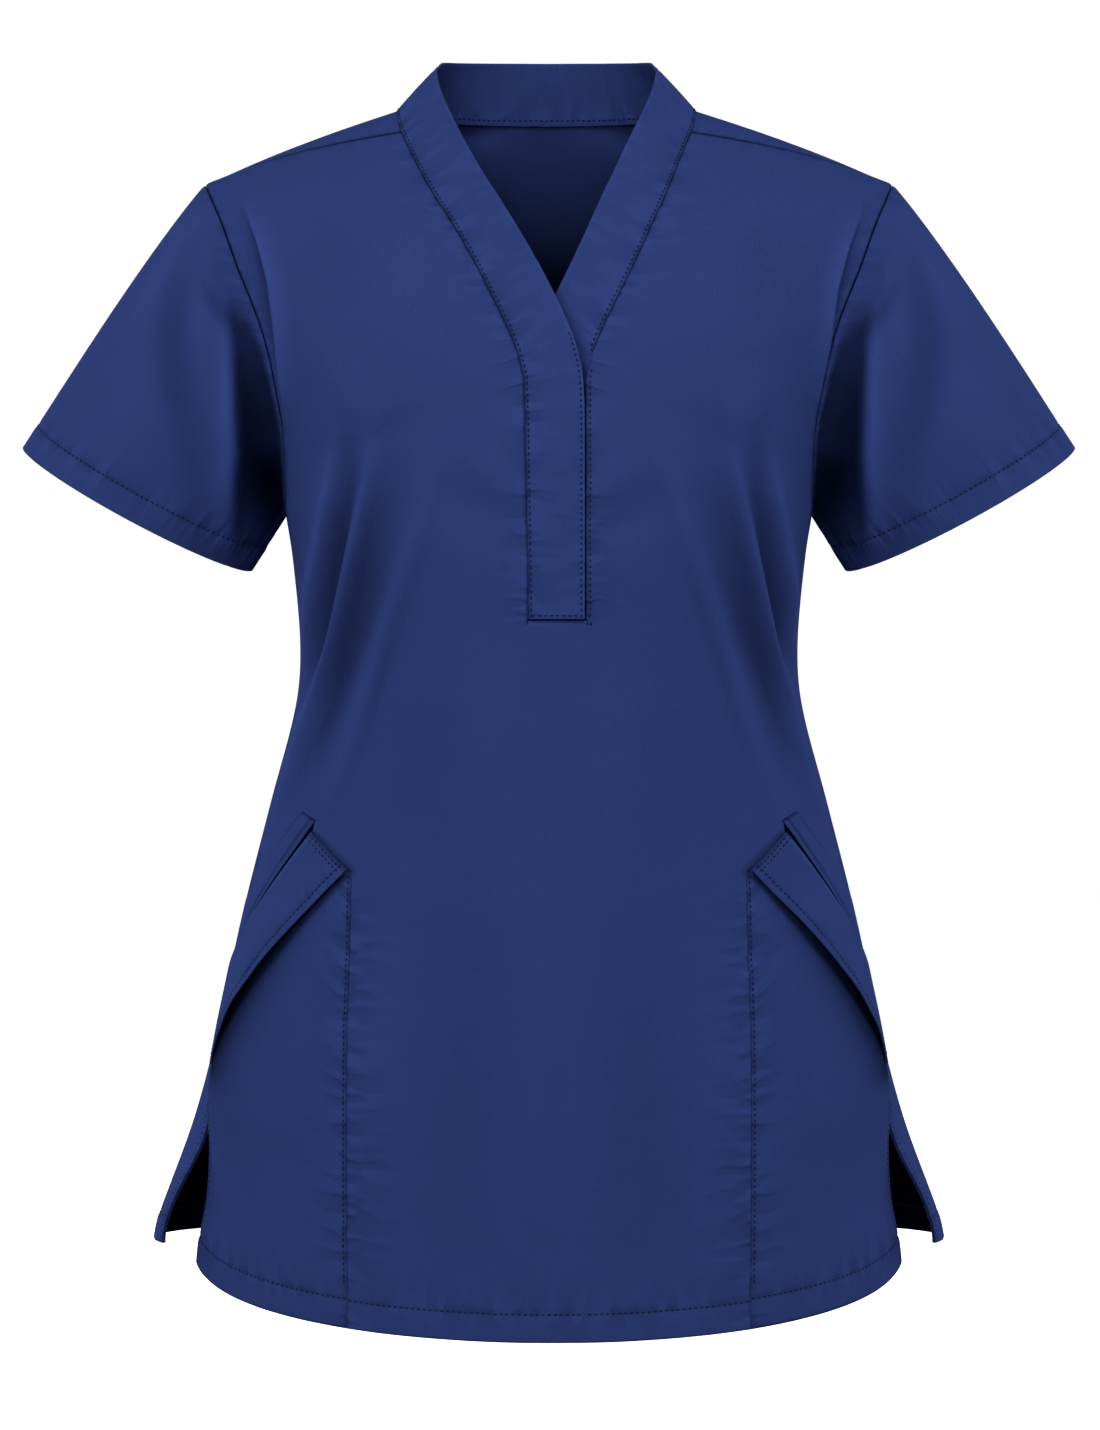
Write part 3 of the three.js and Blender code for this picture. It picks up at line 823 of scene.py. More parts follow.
SLEEVE_FRONT_CREASES = CreaseSet(
    (
        Crease(((-191, -50), (-207, -88), (-232, -132)), 6, 2.6, True, painted_shade_share=0.9),
        Crease(
            ((-196, -72), (-203, -108), (-205, -134), (-200, -162), (-192, -190), (-187, -222)),
            9, -4.6, painted_shade_share=0.95,
        ),
        Crease(((-186, -104), (-188, -150)), 8, 2.2, painted_shade_share=0.6),
        Pleat(
            ((-178, -112), (-173.5, -134), (-172, -160), (-171, -196), (-177, -254)),
            7, 3.0, depth=10, wall=6, hollow=32, painted_shade_share=2.1, crest_highlight=2.0, crest_width=2.5,
        ),
        Crease(((-190, -100), (-178, -118), (-164, -138)), 4, -2.4, painted_shade_share=2.2),
        Crease(((-150, -190), (-152, -240)), 14, -3.0, painted_shade_share=3.0),
        Crease(((-226, -140), (-232, -196)), 18, 2.6),
        Crease(((-250, -150), (-262, -190)), 14, -2.4),
    ),
    right_share=0.94,
    right_shift=(1.0, -2.0),
)
SLEEVE_BACK_CREASES = CreaseSet(
    (
        Crease(((-188, -64), (-200, -104), (-214, -150)), 10, 3.6, True),
        Crease(((-180, -88), (-186, -130), (-198, -176)), 10, -5.4),
        Crease(((-166, -136), (-160, -176), (-158, -214)), 9, -8.0),
        Crease(((-176, -150), (-176, -200)), 9, 3.4),
        Crease(((-236, -150), (-246, -200)), 16, -3.0),
    ),
    right_share=0.9,
    right_shift=(2.0, 6.0),
)


class Recipe:
    """A material under construction: its shader, and nodes that are added with their inputs."""

    def __init__(self, name: str, sockets: NodeInputs) -> None:
        """Starts the material.

        Args:
            name: The material's name.
            sockets: Values of the shader's own sockets.
        """
        self.material = bpy.data.materials.new(name)
        self.material.use_nodes = True
        self.shader = self.material.node_tree.nodes["Principled BSDF"]
        self.fill(self.shader, sockets)

    def fill(self, node: bpy.types.Node, inputs: NodeInputs) -> None:
        """Sets a node's inputs, or links them where another node's output is given.

        Args:
            node: The node.
            inputs: Values or outputs, by the input's name or number.
        """
        for name, value in inputs.items():
            if isinstance(value, Socket):
                self.material.node_tree.links.new(value, node.inputs[name])
            else:
                node.inputs[name].default_value = value

    def add(self, kind: str, output: str, inputs: NodeInputs, **settings: str) -> Socket:
        """Adds a node.

        Args:
            kind: The node's kind, as Blender names it after "ShaderNode".
            output: The output that is wanted.
            inputs: Its inputs' values, or other nodes' outputs.
            settings: Its own settings.

        Returns:
            The output.
        """
        node = self.material.node_tree.nodes.new(f"ShaderNode{kind}")
        for name, value in settings.items():
            setattr(node, name, value)
        self.fill(node, inputs)
        return node.outputs[output]

    def math(self, operation: str, *values: Socket | float) -> Socket:
        """Adds a sum of the named kind."""
        return self.add("Math", "Value", dict(enumerate(values)), operation=operation)

    def multiplied(self, colour: Socket, by: Socket) -> Socket:
        """Adds a colour multiplied by another."""
        inputs = {"Factor": 1, "A": colour, "B": by}
        return self.add("Mix", "Result", inputs, data_type="RGBA", blend_type="MULTIPLY")

    def relief(self, layers: Sequence[tuple[Socket, float]]) -> None:
        """Gives the shader a fine relief.

        Args:
            layers: Heights from 0 to 1, each with its depth in metres.
        """
        before = {}
        for height, depth in layers:
            inputs = {"Strength": 1.0, "Distance": depth, "Height": height, **before}
            before = {"Normal": self.add("Bump", "Normal", inputs)}
        self.fill(self.shader, before)


@dataclass(frozen=True)
class ClothFinish:
    """Navy poplin: a fine weave, slubs, drawn seams and a faint blue sheen, with painted shade in
    hollows and at seams and painted highlights on crests.
    """

    name: str = "navy_poplin"
    colour: tuple[float, float, float] = (0.0230, 0.0402, 0.148)
    roughness: float = 0.78
    specular: float = 0.0
    sheen: float = 0.01
    sheen_roughness: float = 0.45
    sheen_tint: tuple[float, float, float, float] = (0.3, 0.42, 1.0, 1)
    thread_pitch: float = 0.42
    rib_pitch: float = 1.15
    weave_depth: float = 0.00009
    weave_share: float = 0.45
    slub_stretch: tuple[float, float, float] = (1.1, 0.12, 1)
    slub_depth: float = 0.00008
    rumple_scale: float = 26
    rumple_depth: float = 0.0011
    tone_spread: float = 0.10
    # How the painted shade of creases and seams darkens hollows and lightens crests.
    painted_shade_range: Pair = (-24.0, 6.0)
    shadow_tone: float = 0.03
    hollow_shade: float = 0.36
    hollow_place: float = 0.5
    flat_place: float = 0.8
    crest_highlight: float = 1.35
    pucker_depth: float = 0.0008
    # How strongly the puckers' painted shade follows their height.
    pucker_shade: float = 4.2
    pucker_stretch: Pair = (0.045, 0.12)
    pucker_edge: Pair = (0.40, 0.60)
    low_shade: float = 1.0
    low_shade_range: Pair = (-0.080, -0.007)
    # The inside is painted darker, as shade: by this share, and more towards the hem.
    inner_shade: float = 0.8
    inner_low_shade: float = 0.06

    def inner(self) -> "ClothFinish":
        """The same cloth inside the top, with painted shade: darker, and darkest towards the hem.
        """
        colour = tuple(self.inner_shade * channel for channel in self.colour)
        name = f"{self.name}_reverse"
        return replace(self, name=name, colour=colour, low_shade=self.inner_low_shade)

    def make(self) -> Material:
        """Makes the material.

        Returns:
            The node material.
        """
        recipe = Recipe(
            self.name,
            {
                "Roughness": self.roughness,
                "Specular IOR Level": self.specular,
                "Sheen Weight": self.sheen,
                "Sheen Roughness": self.sheen_roughness,
                "Sheen Tint": self.sheen_tint,
            },
        )
        uv = recipe.add("TexCoord", "UV", {})
        place = recipe.add("TexCoord", "Object", {})
        weave = self._weave(recipe, uv)
        stretched = recipe.add("Mapping", "Vector", {"Vector": uv, "Scale": self.slub_stretch})
        slub = recipe.add("TexNoise", "Fac", {"Vector": stretched, "Scale": 1.0, "Detail": 3})
        wide = {"Vector": place, "Scale": self.rumple_scale, "Detail": 2.5}
        rumple = recipe.add("TexNoise", "Fac", wide)
        drawn = self._puckers(recipe, uv)
        mixed = {"Factor": self.weave_share, "A": slub, "B": weave}
        yarn = recipe.add("Mix", "Result", mixed, data_type="FLOAT")
        colour = recipe.multiplied(self._yarn_colour(recipe, yarn), self._shade(recipe, drawn))
        if self.low_shade < 1:
            colour = self._darker_below(recipe, place, colour)
        recipe.fill(recipe.shader, {"Base Color": colour})
        recipe.relief(
            (
                (weave, self.weave_depth),
                (slub, self.slub_depth),
                (rumple, self.rumple_depth),
                (drawn, self.pucker_depth),
            )
        )
        return recipe.material

    def _weave(self, recipe: Recipe, uv: Socket) -> Socket:
        """Adds the weave: fine threads across a diagonal rib.

        Args:
            recipe: The unfinished material.
            uv: The cloth's own places, in millimetres.

        Returns:
            The weave's height.
        """
        scales = (math.pi / 10 / self.thread_pitch, math.pi * math.sqrt(2) / 10 / self.rib_pitch)
        heights = []
        for direction, scale in zip(("X", "DIAGONAL"), scales):
            inputs = {"Vector": uv, "Scale": scale, "Distortion": 0.6, "Detail Scale": 0.8}
            heights.append(recipe.add("TexWave", "Fac", inputs, bands_direction=direction))
        return recipe.math("MULTIPLY", *heights)

    def _yarn_colour(self, recipe: Recipe, yarn: Socket) -> Socket:
        """Adds the colour of the cloth's crests, with their painted highlight, which varies a
        little with the yarn.

        Args:
            recipe: The unfinished material.
            yarn: The yarn's share of the lighter colour.

        Returns:
            The colour.
        """
        crest = [channel * self.crest_highlight for channel in self.colour]
        dark = tuple(channel * (1 - self.tone_spread) for channel in crest)
        light = tuple(channel * (1 + self.tone_spread) for channel in crest)
        inputs = {"Factor": yarn, "A": (*dark, 1), "B": (*light, 1)}
        return recipe.add("Mix", "Result", inputs, data_type="RGBA")

    def _shade(self, recipe: Recipe, drawn: Socket) -> Socket:
        """Adds the painted shade and highlights that the creases and the drawn seams give the
        cloth.

        Args:
            recipe: The unfinished material.
            drawn: The height of the drawn wrinkles.

        Returns:
            The shade: 1 on a crest, and darker on flat cloth and in hollows.
        """
        tone = recipe.add("Attribute", "Fac", {}, attribute_name="tone")
        summed = recipe.math("MULTIPLY_ADD", drawn, self.pucker_shade, tone)
        low, high = self.painted_shade_range
        inputs = {"Value": summed, "From Min": low, "From Max": high}
        share = recipe.add("MapRange", "Result", inputs)
        shade = recipe.add("ValToRGB", "Color", {"Fac": share})
        stops = shade.node.color_ramp.elements
        stops[0].color = (*([self.shadow_tone] * 3), 1)
        stops[1].color = (1, 1, 1, 1)
        between = ((self.hollow_place, self.hollow_shade), (self.flat_place, 1 / self.crest_highlight))
        for position, value in between:
            stops.new(position).color = (value, value, value, 1)
        return shade

    def _puckers(self, recipe: Recipe, uv: Socket) -> Socket:
        """Adds the drawn wrinkles that cross the seams.

        The attribute "pucker" says how strong they are. It is positive beside a seam that runs
        down the cloth's own grid, and negative beside one that runs across it.

        Args:
            recipe: The unfinished material.
            uv: The cloth's own places, in millimetres.

        Returns:
            The wrinkles' height.
        """
        strength = recipe.add("Attribute", "Fac", {}, attribute_name="pucker")
        low, high = self.pucker_edge
        steep = {"From Min": low, "From Max": high, "To Min": -0.5, "To Max": 0.5}
        heights = []
        for sign, stretch in ((1, self.pucker_stretch), (-1, self.pucker_stretch[::-1])):
            way = recipe.add("Mapping", "Vector", {"Vector": uv, "Scale": (*stretch, 1)})
            noise = recipe.add("TexNoise", "Fac", {"Vector": way, "Scale": 1.0, "Detail": 1.0})
            inputs = {"Value": noise, **steep}
            wave = recipe.add("MapRange", "Result", inputs, interpolation_type="SMOOTHSTEP")
            only = recipe.math("MAXIMUM", recipe.math("MULTIPLY", strength, sign), 0)
            heights.append(recipe.math("MULTIPLY", only, wave))
        return recipe.math("ADD", *heights)

    def _darker_below(self, recipe: Recipe, place: Socket, colour: Socket) -> Socket:
        """Darkens the colour towards the hem, where little light gets inside the top.

        Args:
            recipe: The unfinished material.
            place: Places on the object, in metres.
            colour: The colour.

        Returns:
            The darker colour.
        """
        height = recipe.add("SeparateXYZ", "Z", {"Vector": place})
        low, high = self.low_shade_range
        inputs = {"Value": height, "From Min": low, "From Max": high, "To Min": self.low_shade}
        return recipe.multiplied(colour, recipe.add("MapRange", "Result", inputs))


@dataclass(frozen=True)
class ThreadFinish:
    """Twisted navy sewing thread, far darker than the cloth: its colour also paints the shade round
    the stitches.
    """

    name: str = "navy_thread"
    colour: tuple[float, float, float] = (0.0035, 0.0065, 0.028)
    dark_share: float = 0.7
    roughness: float = 0.7
    specular: float = 0.08
    twist_scale: float = 700
    twist_depth: float = 0.00008

    def make(self) -> Material:
        """Makes the material.

        Returns:
            The node material.
        """
        sockets = {"Roughness": self.roughness, "Specular IOR Level": self.specular}
        recipe = Recipe(self.name, sockets)
        place = recipe.add("TexCoord", "Object", {})
        inputs = {"Vector": place, "Scale": self.twist_scale}
        twist = recipe.add("TexWave", "Fac", inputs, bands_direction="DIAGONAL")
        recipe.relief(((twist, self.twist_depth),))
        dark = tuple(self.dark_share * channel for channel in self.colour)
        inputs = {"Factor": twist, "A": (*dark, 1), "B": (*self.colour, 1)}
        colour = recipe.add("Mix", "Result", inputs, data_type="RGBA")
        recipe.fill(recipe.shader, {"Base Color": colour})
        return recipe.material


@dataclass
class Sewing:
    """Rows of stitches, each a small rounded bead of thread half sunk in the cloth."""

    name: str
    material: Material
    pitch: float = 3.1
    length: float = 2.0
    radius: float = 0.42
    flatness: float = 1.15
    rows: list[tuple[Array, Array]] = field(default_factory=list)

    def add(self, points: Array, normals: Array, lift: float) -> None:
        """Adds a row of stitches.

        Args:
            points: The line that the row follows, in millimetres.
            normals: The cloth's normals along it.
            lift: How far the thread stands off that line.
        """
        self.rows.append((points + normals * lift, normals))

    def sew_across(self, patch: Patch, distance: float, lift: float) -> None:
        """Adds a row of stitches across a patch, such as a hem's.

        Args:
            patch: The patch.
            distance: The row's distance from the patch's last row.
            lift: How far the thread stands off the patch.
        """
        columns = np.arange(patch.points.shape[1]).astype(float)
        self.add(*patch.sample(patch.row_at_distance(distance, True), columns), lift)

    def sew_down(
        self, patch: Patch, distance: float, from_end: bool, rows: Array, lift: float
    ) -> None:
        """Adds a row of stitches down a patch, beside one of its edges.

        Args:
            patch: The patch.
            distance: The row's distance from the edge.
            from_end: Whether the edge is the patch's last column and not its first.
            rows: The patch's rows that it runs along.
            lift: How far the thread stands off the patch.
        """
        columns = patch.column_at_distance(distance, from_end)[rows]
        self.add(*patch.sample(rows.astype(float), columns), lift)

    def _stitches(self) -> list[Matrix]:
        """The place, direction and size of each stitch.

        Returns:
            A matrix for each stitch, which turns a ball of radius 1 into it.
        """
        shape = Matrix.Diagonal((self.length / 2, self.radius * self.flatness, self.radius, 1))
        places = []
        for points, normals in self.rows:
            steps = np.linalg.norm(np.diff(points, axis=0), axis=1)
            along = np.concatenate([[0], np.cumsum(steps)])
            count = int(along[-1] / self.pitch)
            for middle in (np.arange(count) + 0.5) * self.pitch:
                here, ahead, behind = (
                    Vector([float(np.interp(s, along, points[:, i])) for i in range(3)])
                    for s in (middle, middle + 0.5, middle - 0.5)
                )
                up = Vector([float(np.interp(middle, along, normals[:, i])) for i in range(3)])
                way = (ahead - behind).normalized()
                side = up.cross(way).normalized()
                up = way.cross(side).normalized()
                turn = Matrix((way, side, up)).transposed().to_4x4()
                places.append(Matrix.Scale(MM, 4) @ Matrix.Translation(here) @ turn @ shape)
        return places

    def build(self) -> None:
        """Builds all the rows as one joined mesh."""
        bm = bmesh.new()
        for place in self._stitches():
            bmesh.ops.create_icosphere(bm, subdivisions=1, radius=1, matrix=place)
        add_object(self.name, bm, self.material)


def add_object(name: str, bm: bmesh.types.BMesh, material: Material) -> bpy.types.Object:
    """Turns a bmesh into an object that rides on the top.

    Args:
        name: The object's name.
        bm: The mesh, which is freed.
        material: Its only material.

    Returns:
        The object, at the origin.
    """
    mesh = bpy.data.meshes.new(name)
    bm.to_mesh(mesh)
    bm.free()
    mesh.materials.append(material)
    for polygon in mesh.polygons:
        polygon.use_smooth = True
    made = bpy.data.objects.new(name, mesh)
    bpy.context.scene.collection.objects.link(made)
    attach(made, ROOT)
    return made


def add_patch(bm: bmesh.types.BMesh, patch: Patch) -> None:
    """Adds a patch to a bmesh as a grid moved onto the patch's points.

    Args:
        bm: The mesh under construction, in metres.
        patch: The points, in millimetres.
    """
    rows, columns = patch.points.shape[:2]
    layer = bm.loops.layers.uv.get("cloth") or bm.loops.layers.uv.new("cloth")
    # The painted shade of each point, which the cloth's material reads.
    painted_shades = bm.verts.layers.float.get("tone") or bm.verts.layers.float.new("tone")
    puckers = bm.verts.layers.float.get("pucker") or bm.verts.layers.float.new("pucker")
    made = bmesh.ops.create_grid(bm, x_segments=columns - 1, y_segments=rows - 1, size=0.5)["verts"]
    across = patch.across - patch.across[:, columns // 2][:, None]
    where = {}
    for vert in made:
        column = round((vert.co.x + 0.5) * (columns - 1))
        row = round((vert.co.y + 0.5) * (rows - 1))
        where[vert] = (row, column)
    faces = {face for vert in made for face in vert.link_faces}
    for vert, (row, column) in where.items():
        vert.co = patch.points[row, column] * MM
        vert[painted_shades] = patch.tone[row, column]
        vert[puckers] = patch.pucker[row, column]
    for face in faces:
        for loop in face.loops:
            row, column = where[loop.vert]
            loop[layer].uv = (across[row, column], -patch.down[row, columns // 2])
    if not patch.turned:
        bmesh.ops.reverse_faces(bm, faces=list(faces))


def report(name: str, *patches: Patch) -> None:
    """Reports how much cloth of a piece shows."""
    LOG.info("%s: %.4f square metres", name, sum(patch.area() for patch in patches))


def turned_hem(patch: Patch, depth: float) -> Patch:
    """The part of a hem that is turned up inside a patch, from its stitching to its fold.

    Args:
        patch: The patch whose last row is the hem's edge.
        depth: The height of the turned part.

    Returns:
        The turned part, inside the patch.
    """
    to_hem = (patch.down[-1] - patch.down).mean(axis=1)
    first = int(np.argmax(to_hem < depth + TURNING_SPARE))
    return patch.lifted(-INNER_LAYER).part(first)


def turned_side(patch: Patch, width: float, below_z: float) -> Patch:
    """The edge that is turned back inside the patch's last columns, below a height.

    Args:
        patch: The patch whose last column is the edge.
        width: The width of the turned part.
        below_z: The height where it begins.

    Returns:
        The turned part, inside the patch.
    """
    rows = patch.rows_below(below_z)
    to_edge = patch.to_side[rows].mean(axis=0)
    first = int(np.argmax(to_edge < width))
    return patch.lifted(-INNER_LAYER).part(int(rows[0]), first)


def build_cloth(
    name: str,
    patches: Sequence[Patch],
    material: Material,
    wall: float,
    rounding: float = 0.0,
    reverse: Material | None = None,
) -> bpy.types.Object:
    """Builds a cloth piece from patches that meet edge to edge.

    Args:
        name: The object's name.
        patches: The patches, in millimetres.
        material: The cloth.
        wall: The cloth's thickness.
        rounding: The width of the rounding of its edges, or 0 for none.
        reverse: The cloth of the inner side, where it isn't the same: a darker copy with painted
            shade.

    Returns:
        The object.
    """
    bm = bmesh.new()
    for patch in patches:
        add_patch(bm, patch)
    bmesh.ops.remove_doubles(bm, verts=bm.verts, dist=WELD)
    made = add_object(name, bm, material)
    shell = made.modifiers.new("wall", "SOLIDIFY")
    shell.thickness = wall * MM
    shell.offset = 0
    if reverse is not None:
        made.data.materials.append(reverse)
        shell.material_offset = 1
    if rounding:
        edge = made.modifiers.new("edge", "BEVEL")
        edge.width = rounding * MM
        edge.segments = 2
        edge.limit_method = "ANGLE"
        edge.angle_limit = math.radians(50)
    return made


@dataclass
class Workroom:
    """What every piece is made with: the form, the cloth and the thread."""

    form: TopForm
    cloth: Material
    # The inner side's cloth: a darker copy with painted shade.
    reverse: Material
    thread: Material
    panel_wall: float = 0.8
    stitch_lift: float = 0.42


def seam_line(distance: Array, width: float = 1.1) -> Array:
    """The shade of a seam by distance from it: 1 at the seam and 0 away from it."""
    return np.exp(-((np.asarray(distance) / width) ** 2))


def fading(distance: Array, reach: float) -> Array:
    """A strength that is 1 at a seam and fades with the distance from it."""
    return np.exp(-np.abs(distance) / reach)


@dataclass(frozen=True)
class Puckers:
    """The small drawn wrinkles that cross a sewn seam."""

    height: float
    pitch: float
    reach: float
    seed: float

    def lift(self, distance: Array, along: Array) -> Array:
        """The lift that the wrinkles give the cloth.

        Args:
            distance: Distances from the seam, in millimetres.
            along: Places along it.

        Returns:
            The lift for each place.
        """
        fan = along * (1 + 0.02 * np.sin(along / 31 + self.seed))
        strength = 0.65 + 0.35 * np.sin(along / 47 + 2 * self.seed)
        wave = ripple(fan, self.pitch, self.seed) * strength
        return self.height * wave * fading(distance, self.reach)


@dataclass(frozen=True)
class Hem:
    """A turned and stitched hem."""

    depth: float = 14.6
    raise_by: float = 0.35
    groove: float = 0.45
    pucker: float = 0.22
    pucker_pitch: float = 13
    pucker_reach: float = 9.0
    shade: float = 3.2

    def relief(self, distance: Array, along: Array, seed: float) -> Array:
        """The lift that the hem gives the cloth.

        Args:
            distance: Distances from the edge, in millimetres.
            along: Places along the edge.
            seed: A number for this hem's own puckers.

        Returns:
            The lift for each place.
        """
        turned = self.raise_by * (1 - smoothstep(distance, self.depth - 1.2, self.depth + 1.2))
        groove = -self.groove * np.exp(-(((distance - self.depth) / 1.3) ** 2))
        near = fading(distance - self.depth, self.pucker_reach)
        puckers = self.pucker * ripple(along, self.pucker_pitch, seed) * near
        return turned + groove + puckers

    def mark(self, patch: Patch) -> None:
        """Paints shade on a patch along the hem's stitching, and puckers the cloth beside it."""
        from_stitches = patch.to_hem - self.depth
        patch.tone = patch.tone - self.shade * seam_line(from_stitches, 1.5)
        patch.pucker = patch.pucker - fading(from_stitches, 7)


POCKET_PUCKERS = Puckers(0.62, 27, 11, 1.9)
NECK_PUCKERS = Puckers(0.34, 11.5, 7, 0.6)
# How far the puckers on the viewer's right are moved along, and how strong the fine ones are.
POCKET_PUCKER_SHIFT = 9
SEAM_PUCKER = 1.15


@dataclass
class Panel:
    """What the front and the back have in common: a hem, vents and a dipped side seam."""

    room: Workroom
    hem: Hem = Hem()
    vent_stitch: float = 5.0
    vent_turn: float = 11.0
    seam_dip: float = 0.5
    dip_width: float = 2.2
    # How dark the shade painted along the side seam is.
    side_shade: float = 10.0

    def layers(self, patches: Sequence[Patch], halves: Sequence[Patch]) -> list[Patch]:
        """The patches with the parts that are turned inside.

        Args:
            patches: All the panel's patches, which share the hem.
            halves: Those of them that end in a vent.

        Returns:
            The patches, their turned hems and the vents' turned edges.
        """
        apex = self.room.form.vent_apex_z
        hems = [turned_hem(patch, self.hem.depth) for patch in patches]
        return [*patches, *hems, *(turned_side(half, self.vent_turn, apex) for half in halves)]

    def sew(self, sewing: Sewing, patches: Sequence[Patch]) -> None:
        """Sews the hem across patches."""
        for patch in patches:
            sewing.sew_across(patch, self.hem.depth, self.room.stitch_lift)

    def sew_vent(self, sewing: Sewing, half: Patch) -> None:
        """Sews the vent's edge of one half."""
        rows = half.rows_below(self.room.form.vent_apex_z)
        sewing.sew_down(half, self.vent_stitch, True, rows, self.room.stitch_lift)


@dataclass
class FrontPanel(Panel):
    """The front, with its V neck, slit, vents and hem."""

    cut: Pair = (0.47, 0.66)
    cut_area: float = 0.240
    flank_columns: int = 62
    strip_columns: int = 12
    hem_share: float = 0.955
    pocket_seam_x: float = 104.8
    pocket_from_z: float = -420
    pocket_to_z: float = -450
    # Painted shade beside the pockets' puckers, the neck's puckers and the shoulder seam.
    drawn_shade: float = 3.2
    neck_shade: float = 4.5
    shoulder_shade: float = 18.0
    neck_foot_z: float = -290
    slit_stitch: float = 1.9
    slit_top_z: float = -158

    @property
    def _foot(self) -> float:
        """The slit's foot, as a share of the way from the underarm to the hem's middle."""
        form = self.room.form
        return (form.slit_foot_z - form.underarm_z) / (form.hem_front_middle - form.underarm_z)

    def _slit_x(self, side: int, down: Array) -> Array:
        """The slit's edge, or the strip's below it, by share of the way to the hem."""
        form = self.room.form
        station = lerp(form.underarm_station, 0, np.clip(down / self._foot, 0, 1))
        return form.neck_seam(side, station)[..., 0]

    def _half(self, side: int) -> Patch:
        """One half of the panel, from the shoulder seam to the hem.

        Args:
            side: -1 for the viewer's left and 1 for the right.

        Returns:
            The half.
        """
        form = self.room.form
        share = spread((0, 0), (0.02, 3), (0.42, 22), (0.92, self.flank_columns), (0.97, 4), (1, 5))
        down = spread((0, 0), (0.012, 3), (form.front_neckline, 44), (1, 18))
        s, d = np.meshgrid(share, down)
        above = form.front_above(side, s, d)
        lower = spread((0, 0), (self._foot, 24), (self.hem_share, 118), (1, 14))
        s, d = np.meshgrid(share, lower)
        z = lerp(form.underarm_z, form.front_hem(s), d)
        start = np.arcsin(self._slit_x(side, d) / form.sections.read("front_half", z))
        below = form.front_below(lerp(start, side * form.seam_angle(z), s), z)
        return Patch(np.concatenate([above[:-1], below]), turned=side < 0)

    def _strip(self) -> Patch:
        """The strip below the slit, between the halves.

        Returns:
            The strip.
        """
        form = self.room.form
        lower = spread((self._foot, 0), (self.hem_share, 118), (1, 14))
        s, d = np.meshgrid(spread((0, 0), (1, self.strip_columns)), lower)
        z = lerp(form.underarm_z, form.hem_front_middle, d) + 0 * s
        x = lerp(self._slit_x(-1, d), self._slit_x(1, d), s)
        return Patch(form.front_below(np.arcsin(x / form.sections.read("front_half", z)), z))

    def _relief(self, patch: Patch) -> Patch:
        """The panel with its hem and the puckers beside the pockets' seams, and their painted
        shade.

        Args:
            patch: A half or the strip.

        Returns:
            The patch with that relief.
        """
        x, z = patch.points[..., 0], patch.points[..., 2]
        height = self.hem.relief(patch.to_hem, x, 0.7)
        lower = smoothstep(-z, -self.pocket_from_z, -self.pocket_to_z)
        drawn = np.where(x < 0, POCKET_PUCKERS.lift(-x - self.pocket_seam_x, z), 0)
        right = POCKET_PUCKERS.lift(x - self.pocket_seam_x, z + POCKET_PUCKER_SHIFT)
        drawn = drawn + np.where(x > 0, right, 0)
        patch.tone = patch.tone + self.drawn_shade * drawn * lower
        patch.pucker = SEAM_PUCKER * fading(np.abs(x) - self.pocket_seam_x, 12) * lower
        self.hem.mark(patch)
        return patch.lifted(height + drawn * lower)

    def _dress(self, half: Patch) -> None:
        """Dips a half at its seams, paints shade on the cloth beside them and puckers it.

        Args:
            half: The half, which is changed.
        """
        edge = smoothstep(half.to_side, 0, self.dip_width)
        top = smoothstep(half.down, 0, self.dip_width)
        neck = smoothstep(half.across, 0, 2.0)
        shoulder_rows = (half.points[..., 2] > self.neck_foot_z) * 1.0
        dip = (1 - edge) + (1 - top) + (1 - neck) * shoulder_rows
        drawn = NECK_PUCKERS.lift(half.across, half.down) * shoulder_rows
        half.tone = half.tone + self.neck_shade * drawn
        half.tone = half.tone - self.shoulder_shade * seam_line(half.down, 1.6)
        half.tone = half.tone - self.side_shade * seam_line(half.to_side, 1.3)
        above_foot = half.points[..., 2] > self.room.form.slit_foot_z
        half.pucker = half.pucker + 1.1 * fading(half.across, 9) * above_foot
        half.pucker = half.pucker + 0.7 * fading(half.to_side, 8) - 0.6 * fading(half.down, 7)
        half.points = half.lifted(drawn - self.seam_dip * np.minimum(dip, 1)).points

    def build(self) -> None:
        """Builds the panel and its stitching."""
        room = self.room
        left, right = (self._relief(self._half(side.value)) for side in Side)
        strip = self._relief(self._strip())
        for half in (left, right):
            self._dress(half)
        patches = (left, strip, right)
        layers = self.layers(patches, (left, right))
        made = build_cloth("front_panel", layers, room.cloth, room.panel_wall, reverse=room.reverse)
        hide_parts("front")
        report("front_panel", *patches)
        sewing = Sewing("front_stitches", room.thread)
        self.sew(sewing, patches)
        for half in (left, right):
            self.sew_vent(sewing, half)
        edge_z = right.points[:, 0, 2]
        rows = np.flatnonzero((edge_z > room.form.slit_foot_z) & (edge_z < self.slit_top_z))
        sewing.sew_down(right, self.slit_stitch, False, rows, room.stitch_lift)
        sewing.build()


